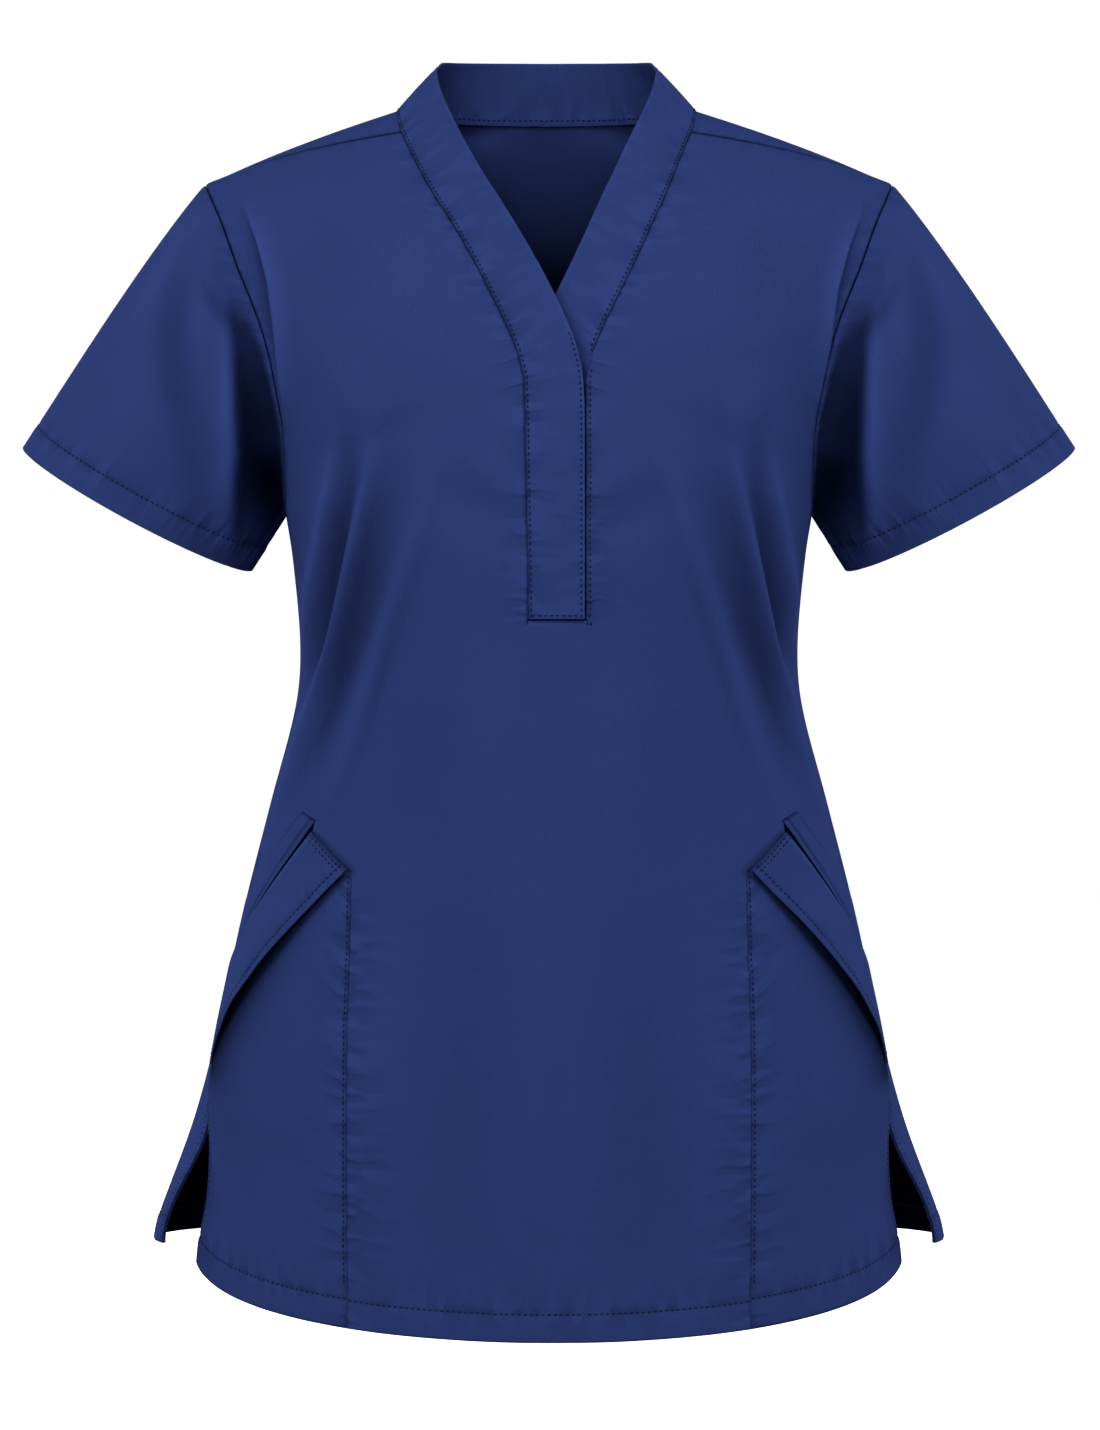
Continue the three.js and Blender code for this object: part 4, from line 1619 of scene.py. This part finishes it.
@dataclass
class BackPanel(Panel):
    """The back, which reaches over the shoulders to the forward shoulder seams."""

    cut: Pair = (0.56, 0.70)
    cut_area: float = 0.304
    columns: int = 80
    # Painted shade along the shoulder seam.
    shoulder_shade: float = 12.0

    def _half(self, side: int) -> Patch:
        """One half of the panel, from the forward shoulder seam to the hem.

        Args:
            side: -1 for the viewer's left and 1 for the right.

        Returns:
            The half.
        """
        form = self.room.form
        share = spread((0, 0), (0.02, 3), (0.97, self.columns), (1, 6))
        down = spread((0, 0), (0.01, 3), (form.back_neckline, 40), (1, 52))
        s, d = np.meshgrid(share, down)
        above = form.back_above(side, s, d)
        s, d = np.meshgrid(share, spread((0, 0), (0.955, 124), (1, 14)))
        z = lerp(form.underarm_z, form.back_hem(s), d)
        below = form.back_below(side, s, z)
        return Patch(np.concatenate([above[:-1], below]), turned=side > 0)

    def _dressed(self, side: int) -> Patch:
        """A half with its hem, its dipped seams, and the painted shade and puckers beside them.

        Args:
            side: -1 for the viewer's left and 1 for the right.

        Returns:
            The half as it lies.
        """
        patch = self._half(side)
        patch = patch.lifted(self.hem.relief(patch.to_hem, patch.across, 2.9 * side))
        edge = 1 - smoothstep(patch.to_side, 0, self.dip_width)
        top = 1 - smoothstep(patch.down, 0, self.dip_width)
        patch.tone = patch.tone - self.side_shade * seam_line(patch.to_side, 1.3)
        patch.tone = patch.tone - self.shoulder_shade * seam_line(patch.down)
        patch.pucker = 0.8 * fading(patch.to_side, 8) - 0.7 * fading(patch.down, 7)
        self.hem.mark(patch)
        return patch.lifted(-self.seam_dip * np.maximum(edge, top))

    def build(self) -> None:
        """Builds the panel and its stitching."""
        room = self.room
        halves = [self._dressed(side.value) for side in Side]
        layers = self.layers(halves, halves)
        made = build_cloth("back_panel", layers, room.cloth, room.panel_wall, reverse=room.reverse)
        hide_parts("back")
        report("back_panel", *halves)
        sewing = Sewing("back_stitches", room.thread)
        for half in halves:
            self.sew(sewing, [half])
            self.sew_vent(sewing, half)
        sewing.build()


@dataclass
class Sleeve:
    """A short set-in sleeve with a turned hem."""

    room: Workroom
    side: Side
    cut: Pair = (0.39, 0.17)
    cut_area: float = 0.046
    hem: Hem = Hem(depth=15.0)
    around: int = 132
    seam_dip: float = 0.5
    seam_pucker: float = 0.5
    seam_pucker_pitch: float = 17

    def build(self) -> None:
        """Builds the sleeve and its stitching."""
        room, side, label = self.room, self.side.value, self.side.label
        share = spread((0.004, 0), (0.02, 3), (0.88, 44), (1, 18))
        angle = np.linspace(0, 2 * np.pi, self.around + 1)
        a, s = np.meshgrid(angle, share)
        patch = Patch(room.form.sleeve(side, s, a), turned=side > 0)
        patch.pucker = -0.8 * fading(patch.down, 8)
        self.hem.mark(patch)
        height = self.hem.relief(patch.to_hem, patch.across, 1.3 * side)
        height = height - self.seam_dip * (1 - smoothstep(patch.down, 0, 2.2))
        near = fading(patch.down, 9) * (1 - smoothstep(np.abs(np.sin(a)), 0.75, 1))
        wave = ripple(a * 60, self.seam_pucker_pitch, 0.4)
        height = height + self.seam_pucker * wave * near * np.sin(a) ** 2
        height[:, -1] = height[:, 0]
        patch = patch.lifted(height)
        patch.points[:, -1] = patch.points[:, 0]
        name = f"sleeve_cloth_{label}"
        layers = [patch, turned_hem(patch, self.hem.depth)]
        made = build_cloth(name, layers, room.cloth, room.panel_wall, reverse=room.reverse)
        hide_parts(f"sleeve_{label}")
        report(name, patch)
        sewing = Sewing(f"sleeve_stitches_{label}", room.thread)
        sewing.sew_across(patch, self.hem.depth, room.stitch_lift)
        sewing.build()


@dataclass
class Neckband:
    """The doubled band round the neck, whose ends make the placket."""

    room: Workroom
    cut: Pair = (0.88, 0.042)
    cut_area: float = 0.0320
    wall: float = 1.1
    rounding: float = 0.35
    thread_lift: float = 0.05
    steps: int = 22
    across: int = 14
    edge_stitch: float = 1.7
    edge_groove: float = 0.22
    crown: float = 0.35
    seam_gap: float = 0.25
    lap_depth: float = 2.0
    lap_from_z: float = -92
    lap_to_z: float = -122
    # Painted shadow of the upper side on the under side, painted shade at the seam and puckers, and
    # a painted highlight along the free edge.
    lap_shade: Pair = (9, 22)
    proud: float = 0.7
    proud_from_z: float = -60
    proud_to_z: float = -130
    seam_from_z: float = -135
    seam_to_z: float = -158
    seam_shade: float = 11.0
    drawn_shade: float = 4.5
    edge_highlight: float = 2.5
    reach: float = 12.6
    puckers: Puckers = Puckers(0.36, 12.5, 6, 2.2)
    turning_columns: float = 2.06
    turning_reach: float = 1.4
    slit_turning_columns: float = 1.0
    slit_turning_reach: float = 2.8
    turning_offset: float = 1.6
    tuck: float = 3.0
    corner_station: float = 10.0
    corner_drop: float = 1.5
    corner_pull: float = 0.8

    def _turning(self, patch: Patch, rows: Array, columns: float, reach: float) -> Patch:
        """A turning inside the band, which closes its seam from within.

        Args:
            patch: The band.
            rows: The band's rows that it runs along.
            columns: How many of the band's columns it covers.
            reach: How far it reaches past the seam, beneath the panel.

        Returns:
            The turning.
        """
        r, c = np.meshgrid(rows.astype(float), np.linspace(0, columns, 6), indexing="ij")
        points, normals = patch.sample(r.ravel(), c.ravel())
        inside = (points - normals * self.turning_offset).reshape(*r.shape, 3)
        away = inside[:, :1] - inside[:, 1:2]
        away = away / np.linalg.norm(away, axis=2, keepdims=True)
        return Patch(np.concatenate([inside[:, :1] + away * reach, inside], axis=1), patch.turned)

    def _half(self, side: int, station: Array, across: Array) -> Array:
        """Points of one half of the band, from its seam to its free edge.

        Args:
            side: -1 for the half that ends on top of the placket, and 1 for the one beneath.
            station: Stations along the band.
            across: Shares of the way across it.

        Returns:
            The points.
        """
        form = self.room.form
        seam = form.neck_seam(side, station)
        slit = smoothstep(-seam[..., 2], -self.seam_from_z, -self.seam_to_z)
        corner = np.exp(-(((station - self.corner_station) / 0.55) ** 2))
        free_z = form.band.read("free_z", station) - self.corner_drop * corner
        free_half = form.band.read("free_half", station) - self.corner_pull * corner
        if side > 0:
            free_half = np.maximum(free_half, -self.reach)
        free_x = form.lean(free_z) + side * free_half
        free = np.stack([free_x, form.band.read("free_y", station), free_z], -1)
        way = free - seam
        width = np.linalg.norm(way, axis=-1, keepdims=True)
        seam = seam + way / width * self.seam_gap
        if side > 0:
            seam[..., 0] += self.tuck * smoothstep(slit, 0.5, 1)
        point = lerp(seam, free, across[..., None])
        if side > 0:
            head = smoothstep(-free_z, -self.lap_from_z, -self.lap_to_z)
            under = np.maximum(head * smoothstep(across, 0.1, 0.55), slit)
            point[..., 1] += self.lap_depth * under
            point[..., 2] -= self.tuck * np.clip(1 - station / 0.1, 0, 1)
        else:
            proud = smoothstep(-free_z, -self.proud_from_z, -self.proud_to_z)
            point[..., 1] -= self.proud * proud * smoothstep(across, 0, 0.12)
        return point

    def _lap_shade(self, edge: Array, under: Array) -> Array:
        """The painted shadow that the upper side's free edge casts on the band's under side.

        Args:
            edge: Points of the free edge, from the placket's foot up.
            under: Points of the under side.

        Returns:
            The shade of each of those points.
        """
        rising = edge[: int(np.argmax(edge[:, 0] < 0)) + 1]
        beside = under[..., 0] - np.interp(under[..., 2], rising[:, 2], rising[:, 0])
        strength = lerp(*self.lap_shade, smoothstep(-under[..., 2], 150, 172))
        return strength * seam_line(np.clip(beside, 0, None), 3.0) * (under[..., 2] < -100)

    def _band(self) -> Patch:
        """The whole band.

        Returns:
            The band, from the placket's foot round to the under side's foot.
        """
        last = self.room.form.last_station
        station = np.linspace(0, last, int(last) * self.steps + 1)
        across = spread((0, 0), (0.06, 2), (0.94, self.across), (1, 2))
        a, t = np.meshgrid(across, station)
        left = self._half(-1, t, a)
        right = self._half(1, t, a)[::-1][1:]
        patch = Patch(np.concatenate([left, right]), turned=True)
        patch.tone[len(left):] -= self._lap_shade(left[:, -1], patch.points[len(left):])
        width = patch.across[:, -1:]
        to_free = width - patch.across
        edge = np.minimum(patch.across, to_free)
        groove = -self.edge_groove * np.exp(-(((edge - self.edge_stitch) / 0.8) ** 2))
        crown = self.crown * np.sqrt(np.clip(edge / (width / 2), 0, 1))
        drawn = self.puckers.lift(patch.across, patch.down + 0.45 * patch.across)
        drawn = drawn + 0.4 * self.puckers.lift(to_free, 1.3 * patch.down)
        # Painted shade beside the puckers and along the seam, and a painted highlight along the
        # free edge.
        patch.tone = patch.tone + self.drawn_shade * drawn
        patch.tone = patch.tone - self.seam_shade * seam_line(patch.across, 0.9)
        patch.tone = patch.tone + self.edge_highlight * seam_line(to_free - 0.6, 0.7)
        patch.pucker = 1.2 * fading(patch.across, 10) + 0.5 * fading(to_free, 7)
        return patch.lifted(groove + crown + drawn)

    def build(self) -> None:
        """Builds the band and its stitching."""
        patch = self._band()
        first = int(self.room.form.head_station * self.steps) + self.steps // 2
        round_neck = np.arange(first, patch.points.shape[0] - first)
        down_slit = np.arange(first + 1)
        layers = [
            patch,
            self._turning(patch, round_neck, self.turning_columns, self.turning_reach),
            self._turning(patch, down_slit, self.slit_turning_columns, self.slit_turning_reach),
        ]
        made = build_cloth("neckband_cloth", layers, self.room.cloth, self.wall, self.rounding)
        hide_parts("neckband")
        report("neckband_cloth", patch)
        self._sew(patch, round_neck)

    def _sew(self, patch: Patch, round_neck: Array) -> None:
        """Sews the band's seam, the placket's free edge and foot, and the seam's inside.

        Args:
            patch: The band.
            round_neck: Its rows that have a turning round the neck.
        """
        sewing = Sewing("neckband_stitches", self.room.thread)
        lift = self.wall / 2 + self.thread_lift
        sewing.sew_down(patch, self.edge_stitch, False, np.arange(patch.points.shape[0]), lift)
        placket = np.arange(int(np.argmax(patch.points[:, -1, 2] > self.seam_from_z)))
        sewing.sew_down(patch, self.edge_stitch, True, placket, lift)
        count = patch.points.shape[1]
        columns = np.linspace(1.5, count - 2.5, 30)
        row = patch.row_at_distance(self.edge_stitch, False)[count // 2]
        sewing.add(*patch.sample(np.full(columns.shape, row), columns), lift)
        columns = patch.column_at_distance(self.edge_stitch, False)[round_neck]
        points, normals = patch.sample(round_neck.astype(float), columns)
        sewing.add(points, -normals, self.turning_offset + lift)
        sewing.build()


@dataclass(frozen=True)
class Corner:
    """A corner of a pocket's piece: its angle round the front's section, and its height."""

    degrees: float
    z: float


@dataclass
class Pocket:
    """A slanted hip pocket: its patch, the strip above the mouth and the turned-down flap."""

    room: Workroom
    side: Side
    hem: Hem = Hem()
    seam_x: float = 104.8
    mouth_top: Corner = Corner(51.5, -399.5)
    mouth_side: Corner = Corner(79.6, -477)
    welt_top: Corner = Corner(58, -389)
    welt_side: Corner = Corner(79.6, -437)
    flap_top: Corner = Corner(39.4, -419)
    flap_side: Corner = Corner(79.6, -530)
    mouth_gap: float = 6.0
    bag_above: float = 7.4
    bag_below: float = -2.5
    # Painted shadow in the mouth, under the flap and beside the puckers, seams and stitches.
    bag_shade: float = 24.0
    bag_lift: float = 0.75
    drawn_shade: float = 3.2
    seam_shade: float = 4.0
    vent_shade: float = 2.5
    under_flap_reach: Pair = (1.5, 8.0)
    under_flap_shade: Pair = (6, 20)
    welt_shade: float = 14.0
    welt_stitch: float = 3.6
    welt_stitch_shade: float = 9.0
    stand_off: float = 5.0
    patch_lift: float = 1.1
    layer: float = 1.2
    wall: float = 0.7
    rounding: float = 0.2
    flap_extra: float = 0.4
    columns: int = 44
    edge_stitch: float = 1.7
    vent_stitch: float = 4.6
    flap_stitch: float = 4.4
    flap_end_stitches: Pair = (1.8, 4.2)
    thread_lift: float = 0.03
    roll: float = 1.6
    patch_cut: Pair = (0.122, 0.24)
    patch_area: float = 0.025
    flap_cut: Pair = (0.056, 0.14)
    flap_area: float = 0.0044
    welt_cut: Pair = (0.036, 0.09)
    welt_area: float = 0.0018

    def _strip(
        self, upper: tuple[Corner, Corner], lower: tuple[Corner, Corner], down: Array, share: Array
    ) -> Patch:
        """A strip between two slanted lines of the front.

        Args:
            upper: The ends of the upper line, the inner one first.
            lower: The ends of the lower line.
            down: Shares of the way from the upper line to the lower one.
            share: Shares of the way along them.

        Returns:
            The strip.
        """

        def cornerwise(read: Callable[[Corner], float]) -> Array:
            """Blends one value of the four corners."""
            top = lerp(read(upper[0]), read(upper[1]), share)
            foot = lerp(read(lower[0]), read(lower[1]), share)
            return lerp(top, foot, down)

        angle = np.radians(cornerwise(lambda corner: corner.degrees))
        z = cornerwise(lambda corner: corner.z)
        points = self.room.form.front_below(self.side.value * angle, z)
        return Patch(points, turned=self.side is Side.LEFT)

    def _mouth(self, rise: float = 0.0) -> tuple[Corner, Corner]:
        """The ends of the mouth's line, or of a line some way above it."""
        return tuple(Corner(c.degrees, c.z + rise) for c in (self.mouth_top, self.mouth_side))

    def _bag(self) -> Patch:
        """The strip of the pocket's inside that shows in its mouth, painted dark as the mouth's
        shadow.

        Returns:
            The strip.
        """
        s, d = np.meshgrid(np.linspace(0.02, 0.99, self.columns), np.linspace(0, 1, 5))
        strip = self._strip(self._mouth(self.bag_above), self._mouth(self.bag_below), d, s)
        strip.tone = strip.tone - self.bag_shade
        return strip.lifted(self.bag_lift)

    def _flap_shade(self, body: Patch) -> Array:
        """The painted shadow on the patch under the flap and just below its edge.

        Args:
            body: The pocket's patch.

        Returns:
            The shade of each of its points.
        """
        s, d = np.meshgrid(np.linspace(0, 1, 9), [0.0, 1.0])
        fold = self._strip(self._mouth(), (self.flap_top, self.flap_side), d, s)
        line = tuple((-abs(point[0]), point[2]) for point in fold.points[-1])
        apart, share = Crease(line, 1, 1).nearest(-np.abs(body.points[..., 0]), body.points[..., 2])
        near = np.exp(-np.clip(apart, 0, None) / lerp(*self.under_flap_reach, share))
        return lerp(*self.under_flap_shade, smoothstep(share, 0, 0.8)) * near

    def _patch(self) -> Patch:
        """The pocket's patch, from its mouth to the hem.

        Returns:
            The patch, flat on the front.
        """
        form = self.room.form
        turn = 0.28
        share = spread((0, 0), (turn, 10), (0.97, 26), (1, 3))
        s, d = np.meshgrid(share, spread((0, 0), (0.93, 84), (1, 14)))
        on_end = s < turn
        part = np.where(on_end, s / turn, (s - turn) / (1 - turn))
        top, side, end = self.mouth_top, self.mouth_side, self.flap_top
        along_end = lerp(end.degrees, top.degrees, part)
        degrees = np.where(on_end, along_end, lerp(top.degrees, side.degrees, part))
        top_z = np.where(on_end, lerp(end.z, top.z, part), lerp(top.z, side.z, part))
        inner = np.arcsin(self.seam_x / form.sections.read("front_half", top_z))
        top_share = (np.radians(degrees) - inner) / (form.seam_angle(top_z) - inner)
        across = lerp(top_share, s, np.minimum(d * 3, 1))
        z = lerp(top_z, form.front_hem(lerp(0.4, 1, s)) + 0.6, d)
        seam_side = np.arcsin(self.seam_x / form.sections.read("front_half", z))
        edge = form.seam_angle(z) - math.radians(0.3)
        points = form.front_below(self.side.value * lerp(seam_side, edge, across), z)
        return Patch(points, turned=self.side is Side.LEFT)

    def _build_patch(self, sewing: Sewing) -> None:
        """Builds the patch and the strip in the mouth, painted dark as the mouth's shadow.

        Args:
            sewing: The pocket's stitching, which gets the patch's rows.
        """
        room, label = self.room, self.side.label
        body = self._patch()
        to_seam = body.across
        z = body.points[..., 2]
        shift = 0 if self.side is Side.LEFT else POCKET_PUCKER_SHIFT
        drawn = POCKET_PUCKERS.lift(to_seam, z + shift)
        relief = self.hem.relief(body.to_hem, body.points[..., 0], 0.7) + drawn
        relief = relief - 0.3 * np.exp(-(((to_seam - self.edge_stitch) / 1.0) ** 2))
        pressed = lerp(0.62, 1, smoothstep(to_seam, 0, 5))
        # Painted shade beside the puckers, along the seam, the vent's stitches and the hem, and the
        # flap's painted shadow.
        body.tone = body.tone + self.drawn_shade * drawn
        body.tone = body.tone - self.seam_shade * seam_line(to_seam, 0.9)
        body.pucker = SEAM_PUCKER * np.exp(-to_seam / 12)
        vent_line = seam_line(body.to_side - self.vent_stitch, 1.4)
        body.tone = body.tone - self.vent_shade * vent_line * (z < room.form.vent_apex_z)
        self.hem.mark(body)
        body.tone = body.tone - self._flap_shade(body)
        body = body.lifted(self.patch_lift * pressed + relief)
        layers = [body, self._bag()]
        made = build_cloth(f"pocket_cloth_{label}", layers, room.cloth, self.wall, self.rounding)
        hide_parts(f"pocket_{label}")
        report(f"pocket_cloth_{label}", body)
        lift = self.wall / 2 + self.thread_lift
        above_hem = np.arange(body.points.shape[0] - 15)
        sewing.sew_down(body, self.edge_stitch, False, above_hem, lift)
        sewing.sew_across(body, self.hem.depth, lift)
        rows = body.rows_below(room.form.vent_apex_z)
        sewing.sew_down(body, self.vent_stitch, True, rows, lift)

    def _build_welt(self) -> None:
        """Builds the strip above the mouth."""
        label = self.side.label
        s, d = np.meshgrid(np.linspace(0, 1, self.columns), np.linspace(0, 1, 14))
        upper = (self.welt_top, self.welt_side)
        welt = self._strip(upper, self._mouth(self.mouth_gap), d, s)
        edge = np.minimum(welt.down, welt.across)
        to_mouth = welt.to_hem
        stitches = seam_line(to_mouth - self.welt_stitch, 0.9)
        # Painted shade along the strip's top edge, its inner end and its stitches.
        welt.tone = welt.tone - self.welt_shade * seam_line(edge, 1.2)
        welt.tone = welt.tone - self.welt_stitch_shade * stitches
        pressed = smoothstep(edge, -0.9, 1.6) * lerp(0.8, 1, smoothstep(to_mouth, 0, 3))
        welt = welt.lifted(self.patch_lift * pressed)
        cloth = self.room.cloth
        made = build_cloth(f"welt_cloth_{label}", [welt], cloth, self.wall, self.rounding)
        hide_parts(f"pocket_welt_{label}")
        report(f"welt_cloth_{label}", welt)

    def _flap(self) -> Patch:
        """The turned-down flap, which stands off the patch along its lower edge.

        Returns:
            The flap.
        """
        share = np.linspace(0, 1, self.columns)
        s, d = np.meshgrid(share, spread((0, 0), (0.08, 4), (0.9, 22), (1, 6)))
        flap = self._strip(self._mouth(), (self.flap_top, self.flap_side), d, s)
        spread_out = (1 - s**4) * (0.35 + 0.65 * smoothstep(s, 0, 0.5))
        stand = self.stand_off * smoothstep(d, 0.05, 1) * spread_out
        from_stitches = flap.to_hem - self.flap_stitch
        crease = 0.35 * np.exp(-((from_stitches / 1.1) ** 2))
        wave = 0.5 * ripple(flap.across, 46, 0.9 + self.side.value) * d
        roll = self.roll * np.sqrt(np.clip(flap.down / 3, 0, 1)) * (1 - 0.6 * d)
        # Painted shade on the flap with its waves, along its end, fold and stitches, and a painted
        # highlight just below the fold.
        flap.tone = flap.tone + 1.2 * wave - 8 * seam_line(flap.across, 0.9)
        flap.tone = flap.tone + 2.0 * seam_line(flap.down - 2.2, 1.4)
        flap.tone = flap.tone - 9 * seam_line(flap.down, 0.8)
        flap.tone = flap.tone - 3.5 * seam_line(from_stitches, 1.1)
        flap.pucker = -0.5 * fading(from_stitches, 6)
        free = 1 - s**8
        base = self.patch_lift + self.layer * lerp(0.78, smoothstep(flap.down, -4, 3), free)
        return flap.lifted(base + (stand - crease + wave + roll) * free)

    def _build_flap(self, sewing: Sewing) -> None:
        """Builds the flap.

        Args:
            sewing: The pocket's stitching, which gets the flap's rows.
        """
        label = self.side.label
        flap = self._flap()
        wall = self.wall + self.flap_extra
        name = f"flap_cloth_{label}"
        made = build_cloth(name, [flap], self.room.cloth, wall, 2 * self.rounding)
        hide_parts(f"pocket_flap_{label}")
        report(name, flap)
        lift = self.wall / 2 + self.thread_lift + self.flap_extra / 2
        rows = np.linspace(1, flap.points.shape[0] - 2, 24)
        for distance in self.flap_end_stitches:
            columns = flap.column_at_distance(distance, False)[np.round(rows).astype(int)]
            sewing.add(*flap.sample(rows, columns), lift)
        sewing.sew_across(flap, self.flap_stitch, lift)

    def build(self) -> None:
        """Builds the pocket's three pieces and their stitching."""
        sewing = Sewing(f"pocket_stitches_{self.side.label}", self.room.thread)
        self._build_patch(sewing)
        self._build_welt()
        self._build_flap(sewing)
        sewing.build()


@dataclass(frozen=True)
class Softbox:
    """A soft area light: its name, its place and size in metres, and its power in watts."""

    name: str
    place: tuple[float, float, float]
    size: Pair
    power: float


@dataclass
class Studio:
    """A plain pale floor, a white surround, soft lights and the photo's camera."""

    camera_distance: float = 1.5
    camera_height: float = -0.3377
    camera_side: float = 0.0006
    view_height: float = 0.8008
    sensor: float = 36.0
    floor_z: float = -1.0
    room_radius: float = 9.0
    ambient: float = 0.12
    sky: tuple[float, float, float, float] = (0.93, 0.96, 1, 1)
    lights: tuple[Softbox, ...] = (
        Softbox("softbox_left", (-2.15, -0.85, -0.25), (0.7, 1.7), 25),
        Softbox("softbox_right", (2.15, -0.85, -0.25), (0.7, 1.7), 25),
        Softbox("front_fill", (-0.3, -3.1, 0.4), (1.2, 1.0), 36),
        Softbox("top_fill", (0.0, -1.4, 1.1), (1.6, 0.7), 22),
        Softbox("back_left", (-1.7, 1.9, 0.4), (1.0, 1.6), 58),
        Softbox("back_right", (1.9, 1.7, 0.2), (1.0, 1.6), 38),
    )

    def build(self) -> None:
        """Builds the world, the floor, the surround, the lights and the camera."""
        self._world()
        self._floor()
        self._surround()
        for softbox in self.lights:
            self._light(softbox)
        self._camera()

    def _world(self) -> None:
        """Gives the scene a faint even sky, and the plain colours of the photo."""
        scene = bpy.context.scene
        scene.view_settings.view_transform = "Standard"
        scene.view_settings.look = "None"
        scene.world = bpy.data.worlds.new("studio")
        scene.world.use_nodes = True
        sky = scene.world.node_tree.nodes["Background"]
        sky.inputs["Color"].default_value = self.sky
        sky.inputs["Strength"].default_value = self.ambient

    @staticmethod
    def _pale(
        name: str, bm: bmesh.types.BMesh, paint: str, grey: float, glow: float
    ) -> bpy.types.Object:
        """Turns a bmesh into a matt object with some light of its own.

        Args:
            name: The object's name.
            bm: The mesh, which is freed.
            paint: The name of its material.
            grey: The material's grey.
            glow: The strength of its light, which doesn't reach the cloth.

        Returns:
            The object.
        """
        sockets = {
            "Base Color": (grey, grey, grey, 1),
            "Roughness": 0.9,
            "Emission Color": (1, 1, 1, 1),
            "Emission Strength": glow,
        }
        mesh = bpy.data.meshes.new(name)
        bm.to_mesh(mesh)
        bm.free()
        mesh.materials.append(Recipe(paint, sockets).material)
        made = bpy.data.objects.new(name, mesh)
        made.visible_diffuse = False
        bpy.context.scene.collection.objects.link(made)
        return made

    def _floor(self) -> None:
        """Adds the pale floor."""
        bm = bmesh.new()
        size = {"segments": 64, "radius": self.room_radius}
        place = Matrix.Translation((0, 0, self.floor_z))
        bmesh.ops.create_circle(bm, cap_ends=True, matrix=place, **size)
        floor = self._pale("floor", bm, "pale_floor", 0.9, 0.9)

    def _surround(self) -> None:
        """Adds the white surround, which only the camera sees."""
        bm = bmesh.new()
        bmesh.ops.create_icosphere(bm, subdivisions=4, radius=self.room_radius * 1.1)
        bmesh.ops.reverse_faces(bm, faces=bm.faces)
        surround = self._pale("surround", bm, "white_surround", 0.0, 1.02)
        surround.visible_glossy = False
        surround.visible_transmission = False
        surround.visible_shadow = False

    def _light(self, softbox: Softbox) -> None:
        """Adds a soft area light that looks at the top's middle.

        Args:
            softbox: The light.
        """
        data = bpy.data.lights.new(softbox.name, "AREA")
        data.shape = "RECTANGLE"
        data.size, data.size_y = softbox.size
        data.energy = softbox.power
        light = bpy.data.objects.new(softbox.name, data)
        light.location = softbox.place
        aim = Vector((0, 0, self.camera_height)) - Vector(softbox.place)
        light.rotation_euler = aim.to_track_quat("-Z", "Y").to_euler()
        light.visible_camera = False
        bpy.context.scene.collection.objects.link(light)

    def _camera(self) -> None:
        """Adds the photo's camera."""
        scene = bpy.context.scene
        data = bpy.data.cameras.new("camera")
        data.sensor_fit = "VERTICAL"
        data.sensor_height = self.sensor
        data.sensor_width = self.sensor
        data.lens = self.sensor * self.camera_distance / self.view_height
        camera = bpy.data.objects.new("camera", data)
        camera.location = (self.camera_side, -self.camera_distance, self.camera_height)
        camera.rotation_euler = (math.pi / 2, 0, 0)
        scene.collection.objects.link(camera)
        scene.camera = camera


def main() -> None:
    """Builds the top's pieces in a maker's order, then the studio."""
    logging.basicConfig(level=logging.INFO, format="%(name)s %(message)s")
    form = TopForm(FRONT_CREASES, BACK_CREASES, SLEEVE_FRONT_CREASES, SLEEVE_BACK_CREASES)
    cloth = ClothFinish()
    room = Workroom(form, cloth.make(), cloth.inner().make(), ThreadFinish().make())
    BackPanel(room).build()
    FrontPanel(room).build()
    Neckband(room).build()
    for side in Side:
        Sleeve(room, side).build()
        Pocket(room, side).build()
    Studio().build()


if __name__ == "__main__":
    main()
